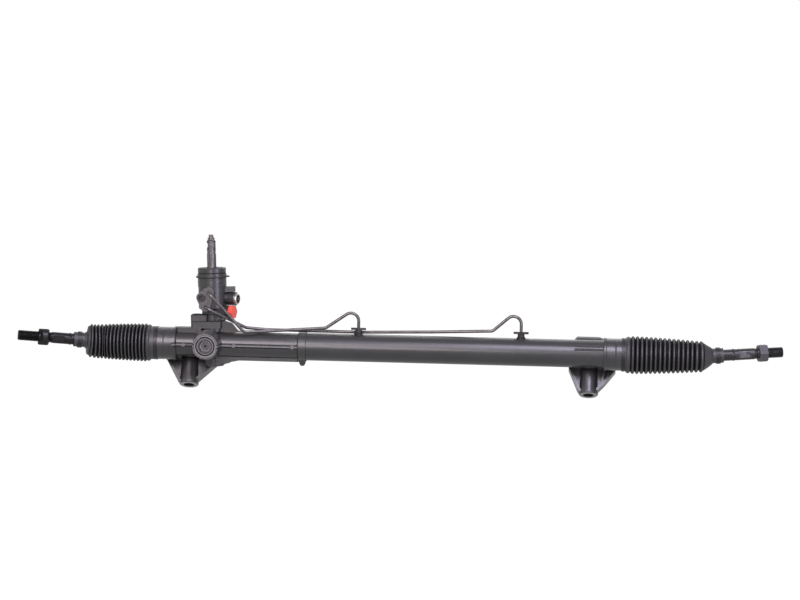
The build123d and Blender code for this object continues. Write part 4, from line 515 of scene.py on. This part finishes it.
# Points of a turned form: each profile point (distance along X, radius) becomes a circle round the line
def turned(profile, start, side, columns):
    angle = anglesRound(columns)
    along = np.array([side, 0.0, 0.0])
    sideways = np.array([0.0, -side, 0.0])
    circle = np.cos(angle)[:, None] * sideways + np.sin(angle)[:, None] * np.cross(along, sideways)
    return (start + profile[:, :1, None] * along + profile[:, 1:, None] * circle[None]).reshape(-1, 3)


# Points turned round an axis through a centre, each by its own angle: what lies along the axis stays, the
# rest turns
def spin(points, centre, axis, angles):
    axis = np.asarray(axis, float)
    offset = points - centre
    cosine, sine = np.cos(angles)[:, None], np.sin(angles)[:, None]
    alongAxis = (offset @ axis)[:, None]
    return centre + offset * cosine + np.cross(axis, offset) * sine + axis * alongAxis * (1 - cosine)


# ---- bellows
# The share of a motion at t of the way through a blend, 3t² - 2t³, and the t for a share
def easeAt(t):
    return t * t * (3 - 2 * t)


def easeInverse(share):
    return 0.5 - math.sin(math.asin(1 - 2 * share) / 3)


bisections, steepestEase, furthestEase = 40, 1.5, 0.75


# Shares of the motion at each cut, so that no piece stretches more than the steepest slope, which for the
# ease is 6t(1 - t) up to its middle and 1.5 past it
def cutShares(cuts, steepest):
    shares = [0.0]
    for near, far in zip(cuts, cuts[1:]):
        start = easeInverse(shares[-1])
        low, high = start, furthestEase
        for _ in range(bisections):
            middle = (low + high) / 2
            slope = 6 * middle * (1 - middle) if middle < 0.5 else steepestEase
            if slope * (middle - start) / (far - near) < steepest:
                low = middle
            else:
                high = middle
        shares.append(easeAt(low))
    return shares


# The same from both ends, with the slope at which the two halves meet with a whole motion between them
def sharesBothWays(cuts):
    half = len(cuts) // 2
    low, high = 0.0, 1.0
    for _ in range(bisections):
        steepest = (low + high) / 2
        first = cutShares(cuts[: half + 1], steepest)
        last = cutShares([cuts[-1] - cut for cut in cuts[half:][::-1]], steepest)
        if first[-1] + last[-1] < 1:
            low = steepest
        else:
            high = steepest
    return first[:-1] + [1 - share for share in last[::-1]]


# Places along the rack are X of the frame; zones and the cuff are distances outwards from the ball's centre
bellowsEnds = {
    "Left": {
        "side": -1, "ball": -127.5, "yaw": 14.0, "pitch": 4.0, "neck": -46.3,
        "firstFold": -66.0, "lastFold": -148.9, "firstRadius": 28.4, "lastRadius": 25.2,
        "turnZone": (-8.0, 9.0), "liftZone": (9.0, 27.0), "cuff": (31.2, 47.5),
        "seatBody": "ball_seat_left", "rodBody": "tie_rod_left", "replaces": "bellows_left",
    },
    "Right": {
        "side": 1, "ball": 764.0, "yaw": -5.0, "pitch": 4.2, "neck": 650.3,
        "firstFold": 667.0, "lastFold": 768.8, "firstRadius": 28.2, "lastRadius": 23.3,
        "turnZone": (-5.4, 8.2), "liftZone": (8.2, 20.5), "cuff": (22.5, 38.0),
        "seatBody": "ball_seat_right", "rodBody": "tie_rod_right", "replaces": "bellows_right",
    },
}
bellowsShape = {
    "gaps": 15, "foldDepth": 4.2, "shoulderDepth": 1.9, "roundness": 0.4, "taper": 1.5,
    "firstRise": 0.25, "shoulderDrop": 0.8, "shoulderRadius": 24.9, "neckRadius": 24.3, "neckLength": 5.0,
    "coneRun": 3.0, "coneDrops": (2.6, 4.4), "cuffRadii": (13.4, 11.0), "cuffLead": 3.0,
    "crestLightPower": 2.6, "smoothPartLight": 0.75,
    "wall": 1.1, "neckBore": 23.0, "rodBore": 8.7, "fixedLength": 5.6, "columns": 120, "rowLength": 0.28,
    "clearOfNeck": 2.0, "clearOfTurn": 3.0, "sharp": 60,
}


# Distances from the ball's centre to the first fold and the last, and from each fold to the next
def foldPlaces(end):
    first, last = [(end[key] - end["ball"]) * end["side"] for key in ("firstFold", "lastFold")]
    return first, last, (last - first) / bellowsShape["gaps"]


# Radius and painted light along the bellows, measured outwards from the ball's centre: neck, shoulder,
# rounded folds, cone and cuff. A fold's radius is its crest less depth times (1 - wave to the roundness),
# where wave is 1 on the crest and 0 in the valley, and the crests taper from the first radius to the last.
# The painted light is a highlight near each crest, shade in the valleys and an even middle level on the
# smooth parts
def bellowsRadius(s, end):
    shape = bellowsShape
    first, last, pitch = foldPlaces(end)
    fold = (s - first) / pitch
    share = np.clip(fold / shape["gaps"], 0, 1)
    beforeFolds = fold < -0.5
    rise = np.where(beforeFolds, -shape["shoulderDrop"], shape["firstRise"] * (1 - share))
    crest = end["firstRadius"] + (end["lastRadius"] - end["firstRadius"]) * share ** shape["taper"] + rise
    depth = np.where(beforeFolds, shape["shoulderDepth"], shape["foldDepth"])
    wave = 0.5 - 0.5 * np.cos(2 * math.pi * (fold + 0.5))
    folded = crest - depth * (1 - wave ** shape["roundness"])
    coneStart, cuffStart = last + pitch / 2, end["cuff"][0]
    stations = [coneStart, coneStart + shape["coneRun"], cuffStart - shape["cuffLead"], cuffStart]
    radii = [end["lastRadius"] - drop for drop in shape["coneDrops"]] + list(shape["cuffRadii"])
    radius = np.where(s > coneStart, np.interp(s, stations, radii), folded)
    radius = np.where(fold < -1.5, shape["shoulderRadius"], radius)
    neckEnd = (end["neck"] - end["ball"]) * end["side"] + shape["neckLength"]
    inFolds = (fold > -0.5) & (s < coneStart)
    # painted light: a highlight near each crest, shade in the valleys, an even level elsewhere
    pale = np.where(inFolds, wave ** shape["crestLightPower"], shape["smoothPartLight"])
    return np.where(s < neckEnd, shape["neckRadius"], radius), pale


# Spans along the bellows as (from, to, kind, start of its blend, end of its blend). A fixed neck comes
# first, then spans of the kind "stretch" cut in the valleys, a "turn" and a "lift" span at the ball, and a
# cuff that moves with the rod. Each stretching span's blend reaches past it, so that with the blend the
# span would take just its share of the slide
def bellowsSpans(end):
    shape = bellowsShape
    first, _, pitch = foldPlaces(end)
    neck = (end["neck"] - end["ball"]) * end["side"]
    stretchStart = neck + shape["fixedLength"]
    turnLow, turnHigh = end["turnZone"]
    liftLow, liftHigh = end["liftZone"]
    valleys = first - pitch / 2 + pitch * np.arange(-1, shape["gaps"] + 2)
    lowest, highest = stretchStart + shape["clearOfNeck"], turnLow - shape["clearOfTurn"]
    inner = [valley for valley in valleys if lowest < valley < highest]
    cuts = [stretchStart] + inner[:3] + inner[3:-3:2] + inner[-3:] + [turnLow]
    eased = [easeInverse(share) for share in sharesBothWays(cuts)]
    spans = [(neck, stretchStart, "housing", 0, 0)]
    for near, far, low, high in zip(cuts, cuts[1:], eased, eased[1:]):
        reach = (far - near) / (high - low)
        spans.append((near, far, "stretch", near - low * reach, near + (1 - low) * reach))
    spans.append((turnLow, turnHigh, "turn", turnLow, turnHigh))
    spans.append((liftLow, liftHigh, "lift", liftLow, liftHigh))
    spans.append((liftHigh, end["cuff"][1], "rod", 0, 0))
    return spans


# A bellows in one piece for each span: the wall's profile is turned round the rack, then bent at the ball
# by the rod's yaw and pitch, each eased over its zone. The stretching, turning and lifting spans get the
# ends of their blend worked out but are only baked in place; the neck goes with the housing and the cuff
# with the rod
def makeBellows(which, end):
    shape, side = bellowsShape, end["side"]
    centre = np.array([end["ball"], rackY, rackZ])
    turnLow, turnHigh = end["turnZone"]
    liftLow, liftHigh = end["liftZone"]
    rodYaw, rodPitch = -side * math.radians(end["yaw"]), math.radians(end["pitch"])
    liftAxis = np.array([side * math.sin(rodYaw), -side * math.cos(rodYaw), 0])
    rackWay = np.array([side, 0, 0.0])
    rodWay = spin(rackWay[None], np.zeros(3), (0, 0, 1), np.array([rodYaw]))[0]
    blends = {
        "stretch": ("housing", "rack", rackWay),
        "turn": ("rack", end["seatBody"], rackWay),
        "lift": (end["seatBody"], end["rodBody"], rodWay),
    }
    for number, (near, far, kind, blendStart, blendEnd) in enumerate(bellowsSpans(end)):
        s = np.linspace(near, far, max(4, int((far - near) / shape["rowLength"])))
        outer, pale = bellowsRadius(s, end)
        inside = outer - shape["wall"]
        if kind == "rod":
            inside = np.maximum(shape["rodBore"], inside)
        if kind == "housing":
            inside = np.full(len(s), shape["neckBore"])
        profile = np.concatenate([np.stack([s, outer], 1), np.stack([s[::-1], inside[::-1]], 1)])
        points = turned(profile, centre, side, shape["columns"])
        where = np.repeat(profile[:, 0], shape["columns"])
        turn = easeAt(np.clip((where - turnLow) / (turnHigh - turnLow), 0, 1))
        lift = easeAt(np.clip((where - liftLow) / (liftHigh - liftLow), 0, 1))
        points = spin(points, centre, (0, 0, 1), rodYaw * turn)
        points = spin(points, centre, liftAxis, rodPitch * lift)
        faces = tubeFaces(len(profile), shape["columns"], True)
        # the painted light of each point, which the bellows' finish reads as the "fold" value
        crestLightValues = np.repeat(np.concatenate([pale, pale[::-1]]), shape["columns"])
        name = f"bellows{which}Part{number + 1}"
        piece = addPiece(name, points, faces, "rubber", shape["sharp"], crestLightValues)
        if kind in blends:
            firstBody, secondBody, way = blends[kind]
            ends = [tuple((centre + way * reach) * mm) for reach in (blendStart, blendEnd)]
            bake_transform(piece)
        else:
            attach(piece, "housing" if kind == "housing" else end["rodBody"])
        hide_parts(end["replaces"])


for which, end in bellowsEnds.items():
    makeBellows(which, end)
print("stage: bellows made")


# ---- tie rods
# Distances from the ball's centre along the rod, and radii
rodShape = {
    "ballRadius": 14.0, "ballEnd": 12.4, "neckFrom": 12.3, "neckTo": 18.0, "shankFrom": 22.0,
    "neckRadius": 6.5, "shankRadius": 8.4, "shankEnd": 5.4, "threadRelief": 4.8, "reliefRadius": 7.55,
    "ringAt": 53.1, "ringHeight": 0.8, "ringBase": 1.5, "ringSlope": 1.1,
    "flats": (62.0, 79.0), "halfAcross": 7.2, "threadPitch": 1.5, "threadLead": 4.0, "threadRadius": 7.95,
    "threadDepth": 0.85, "threadFade": 2.0, "tipFade": 1.0, "tipPlain": 0.4,
    "nutMargin": 0.4, "nutLength": 14.0, "underNutRadius": 7.5,
    "tipRadius": 7.9, "chamfer": 1.5, "chamferZone": 3, "columns": 84, "sharp": 40,
}
rods = {"Left": {"nutFrom": 86.0, "tip": 131.5}, "Right": {"nutFrom": 90.0, "tip": 127.5}}


# The rod's radius for each place and angle: ball, neck, shank with a ring, wrench flats and a rolled
# thread. The thread's tooth is a triangle wave of the place in pitches less the angle in turns, cut flat at
# its root
def rodRadius(s, angle, nutFrom, tip):
    size = rodShape
    ball = np.sqrt(np.clip(size["ballRadius"] ** 2 - s**2, 0, None))
    stations = [size["neckFrom"], size["neckTo"], size["shankFrom"],
                nutFrom - size["shankEnd"], nutFrom - size["threadRelief"], tip]
    radii = [size[key + "Radius"] for key in ("neck", "neck", "shank", "shank", "relief", "relief")]
    radius = np.where(s < size["ballEnd"], ball, np.interp(s, stations, radii))
    ring = np.clip(size["ringBase"] - np.abs(s - size["ringAt"]) * size["ringSlope"], 0, size["ringHeight"])
    radius = radius + ring * (s > size["shankFrom"])
    flat = size["halfAcross"] / np.maximum(np.abs(np.cos(angle)), 0.05)
    inFlats = (s > size["flats"][0]) & (s < size["flats"][1])
    radius = np.where(inFlats, np.minimum(radius, flat), radius)
    turn = s / size["threadPitch"] - angle / (2 * math.pi)
    tooth = 1 - 2 * np.abs(turn - np.floor(turn) - 0.5)
    threadFrom = nutFrom - size["threadLead"]
    fade = np.clip((s - threadFrom) / size["threadFade"], 0, 1)
    fade = fade * np.clip((tip - size["tipPlain"] - s) / size["tipFade"], 0, 1)
    cut = size["threadDepth"] * np.clip(1.25 * (1 - tooth) - 0.12, 0, 1) * fade
    nutTo = nutFrom + size["nutLength"] + size["nutMargin"]
    underNut = (s > nutFrom - size["nutMargin"]) & (s < nutTo)
    thread = np.where(underNut, size["underNutRadius"], size["threadRadius"] - cut)
    radius = np.where(s > threadFrom, thread, radius)
    chamfer = size["chamfer"] * np.clip((s - tip + size["chamfer"]) / size["chamfer"], 0, 1)
    limit = np.where(s < tip - size["chamferZone"], np.inf, size["tipRadius"] - chamfer)
    return np.minimum(radius, limit)


# Places of the rings of points along the rod, closer at the ball, at the edges of the flats and on the
# thread
def rodStations(nutFrom, tip):
    size = rodShape
    flatsFrom, flatsTo = size["flats"]
    threadFrom, edge = nutFrom - size["threadLead"], 0.05
    ballRings = np.linspace(0.02, math.pi - 0.02, 40)[:34]
    return np.unique(np.concatenate([
        -size["ballRadius"] * np.cos(ballRings), [0.0],
        np.linspace(12.5, flatsFrom - 0.1, 60), [flatsFrom - edge, flatsFrom + edge],
        np.linspace(flatsFrom + 1, flatsTo - 0.1, 12), [flatsTo - edge, flatsTo + edge],
        np.linspace(flatsTo + 0.4, threadFrom, 14), np.arange(threadFrom, tip - 0.01, 0.19), [tip]]))


# Where the right rod's flats get a painted highlight, in metres from its ball's centre: a place and its
# reach, and an edge
flatHighlightMarks = {"along": (0.0705, 0.0105), "across": (0.0066, 0.0071)}


# Black oxide, painted darker on the left rod as painted shade, with a painted highlight on the front and
# back flats of the right one
def rodOxide(place):
    parts = blackOxide(place)
    end = bellowsEnds["Right"]
    yaw = math.radians(end["yaw"])
    sideways = place.part(0)
    # painted shade: the left rod is darker than the right
    leftShaded = sideways.step(-0.1, 0.5).between((0.012, 0.0112, 0.0115), parts["Base Color"])
    fromBall = place.apart((end["ball"], rackY, rackZ))
    onFlats = fromBall.length().near(*flatHighlightMarks["along"])
    inFront = fromBall.along((math.sin(yaw), math.cos(yaw), 0)).math("ABSOLUTE").step(*flatHighlightMarks["across"])
    # painted highlight: the right rod's front and back flats are made paler, broken up by noise
    paintedHighlight = onFlats * inFront * sideways.step(0.5, 0.6) * place.noise(120, 3, 0.5).step(0.3, 0.6)
    parts["Base Color"] = (paintedHighlight * 0.7).between(leftShaded, (0.2, 0.193, 0.215))
    parts["height"] = (parts["height"][0], 0.00003)
    return parts


rodFinish = finish("blackRodShadedLeft", rodOxide, Metallic=0.6, Coat_Weight=0.12, Coat_Roughness=0.25)


# A tie rod: circles of its radius round the line from the ball, turned by its yaw and raised by its pitch
def makeRod(which, end, nutFrom, tip):
    side, yaw, pitch = end["side"], math.radians(end["yaw"]), math.radians(end["pitch"])
    level = np.array([side * math.cos(yaw), -math.sin(yaw), 0])
    along = level * math.cos(pitch) + np.array([0, 0, math.sin(pitch)])
    across = np.cross(along, (0, 0, 1.0))
    across = across / np.linalg.norm(across)
    stations = rodStations(nutFrom, tip)
    angle = anglesRound(rodShape["columns"])
    radius = rodRadius(stations[:, None], angle[None, :], nutFrom, tip)
    circle = np.cos(angle)[:, None] * across + np.sin(angle)[:, None] * np.cross(across, along)
    centre = np.array([end["ball"], rackY, rackZ])
    points = (centre + stations[:, None, None] * along + radius[:, :, None] * circle[None]).reshape(-1, 3)
    faces = tubeFaces(len(stations), len(angle), False)
    piece = addPiece(f"tieRod{which}", points, faces, "black_oxide", rodShape["sharp"])
    piece.data.materials[0] = rodFinish
    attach(piece, end["rodBody"])
    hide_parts(f"tie_rod_{which.lower()}")


for which, rod in rods.items():
    makeRod(which, bellowsEnds[which], **rod)
print("stage: tie rods made")


# ---- fillets of the feet: each web runs into the casting behind it, with a sloped underside
# The corners are (towards the rack, up the bore), both square to X, and each span is (from, to) along X
filletCorners = ((3.0, 37.5), (3.0, 57.6), (14.0, 57.6), (14.0, 46.0))
filletSpans = {"Left": ((-36.0, -13.0), (13.0, 58.5)), "Right": ((573.0, 589.5), (615.5, 641.5))}
towardRack = np.array([0, -math.cos(footTilt), math.sin(footTilt)])
upTheBore = np.array([0, math.sin(footTilt), math.cos(footTilt)])
for which, spans in filletSpans.items():
    for number, (near, far) in enumerate(spans):
        corners = np.asarray(filletCorners) @ np.array([towardRack, upTheBore])
        stops = np.linspace(near, far, 9)
        points = (corners[None] + stops[:, None, None] * np.array([1.0, 0, 0])).reshape(-1, 3)
        faces = tubeFaces(len(stops), len(filletCorners), False)
        piece = addPiece(f"footFillet{which}{number + 1}", points, faces, "casting", 25)
        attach(piece, "housing")
print("stage: feet filleted")


# ---- camera, light and floor
# The turn that points a camera or a lamp from its place to a target
def toward(place, target):
    return (Vector(target) - Vector(place)).to_track_quat("-Z", "Y").to_matrix().to_4x4()


cameraSpot = {
    "target": (317.0, rackY, rackZ + 73.8), "distance": 4500.0,
    "azimuth": 3.3, "elevation": 4.0, "roll": 1.2,
}
azimuth, elevation, roll = [math.radians(cameraSpot[key]) for key in ("azimuth", "elevation", "roll")]
level = np.array([math.sin(azimuth), -math.cos(azimuth), 0]) * math.cos(elevation)
target = np.array(cameraSpot["target"])
eye = target + cameraSpot["distance"] * (level + np.array([0, 0, math.sin(elevation)]))
cameraData = bpy.data.cameras.new("camera")
cameraData.lens = 135
cameraData.clip_end = 50
aim = Matrix.Translation(Vector(eye * mm)) @ toward(eye, target) @ Matrix.Rotation(roll, 4, "Z")
bpy.context.scene.camera = addObject("camera", cameraData, aim)
bpy.context.scene.view_settings.view_transform = "Standard"

# Each lamp's place and target in metres, its width and height, its power and its tint
warm, cool, plain = (1.0, 0.92, 0.95), (0.84, 0.78, 1.0), (1.0, 1.0, 1.0)
lamps = {
    "frontBox": ((-0.65, -2.6, 1.3), (0.1, 0.0, 0.06), (1.2, 1.4), 44, warm),
    "middleBox": ((0.06, -3.0, 0.3), (0.2, 0.0, 0.06), (0.42, 1.3), 14, warm),
    "frontBoxRight": ((0.97, -2.1, 2.1), (0.6, 0.0, 0.06), (1.2, 1.5), 56, cool),
    "rightBox": ((2.3, -2.0, 0.45), (0.3, 0.0, 0.1), (1.1, 1.1), 26, (0.8, 0.78, 1.0)),
    "topBox": ((0.3, 1.0, 1.9), (0.3, 0.0, 0.06), (2.4, 0.6), 3, plain),
    "leftBox": ((-2.0, -0.8, 0.8), (0.1, 0.0, 0.1), (0.8, 0.8), 7, plain),
    "backBox": ((0.5, 1.8, 1.3), (0.3, 0.0, 0.06), (2.0, 0.5), 8, plain),
}
for name, (place, aimedAt, size, power, tint) in lamps.items():
    data = bpy.data.lights.new(name, "AREA")
    data.shape = "RECTANGLE"
    data.size, data.size_y = size
    data.energy, data.color = power, tint
    addObject(name, data, Matrix.Translation(Vector(place)) @ toward(place, aimedAt))


# What kind of ray asks, as masks: those that go straight to the camera or through clear pieces, and mirror
# rays
def rayKinds(tree):
    rays = tree.nodes.new("ShaderNodeLightPath").outputs
    direct = Flow(tree, rays["Is Camera Ray"]).either(Flow(tree, rays["Is Transmission Ray"]))
    return direct, Flow(tree, rays["Is Glossy Ray"])


# The room is white to direct rays, dimmer in mirror rays and dimmer still in the soft light that it gives
world = bpy.data.worlds.new("studio")
bpy.context.scene.world = world
world.use_nodes = True
tree = world.node_tree
tree.nodes.clear()
direct, mirrored = rayKinds(tree)
seen = direct.either(mirrored * 0.17)
skyColour = seen.between((0.3, 0.3, 0.31), (1, 1, 1))
sky = seen.node("ShaderNodeBackground", 0, None, Color=skyColour, Strength=1.0)
tree.links.new(sky.socket, tree.nodes.new("ShaderNodeOutputWorld").inputs["Surface"])

# The floor takes shadows on a pale matt face, glows nearly white to direct rays and dimly in mirror rays,
# more so near the object
floorShape = {"halfWidth": 9, "front": -7, "back": 12, "below": 0.0005}
floorLevel = packedBox[0][2] - floorShape["below"]
corners = [(-1, "front"), (1, "front"), (1, "back"), (-1, "back")]
floorPoints = [(way * floorShape["halfWidth"], floorShape[edge], floorLevel) for way, edge in corners]
floorMesh = bpy.data.meshes.new("floor")
floorMesh.from_pydata(floorPoints, [], [(0, 1, 2, 3)])
floor = addObject("floor", floorMesh)
floorMaterial = bpy.data.materials.new("paleFloor")
floorMaterial.use_nodes = True
tree = floorMaterial.node_tree
shader = tree.nodes["Principled BSDF"]
direct, mirrored = rayKinds(tree)
for key, value in {"Base Color": (0.4, 0.4, 0.4), "Roughness": 0.85, "Specular IOR Level": 0.1}.items():
    direct.feed(shader.inputs[key], value)
place = Flow(tree, tree.nodes.new("ShaderNodeTexCoord").outputs["Object"])
nearObject = place.part(1).step(-1.3, -0.2)
strength = (direct * 1.1).either(mirrored * (0.14 + nearObject * 0.5))
glow = direct.node("ShaderNodeEmission", 0, None, Color=(1, 1, 1), Strength=strength)
matt = Flow(tree, shader.outputs[0])
share = direct.either(mirrored) * 0.9
mixed = direct.node("ShaderNodeMixShader", 0, None, i0=share, i1=matt, i2=glow)
tree.links.new(mixed.socket, tree.nodes["Material Output"].inputs["Surface"])
floorMesh.materials.append(floorMaterial)
print("stage: camera, light and floor made")
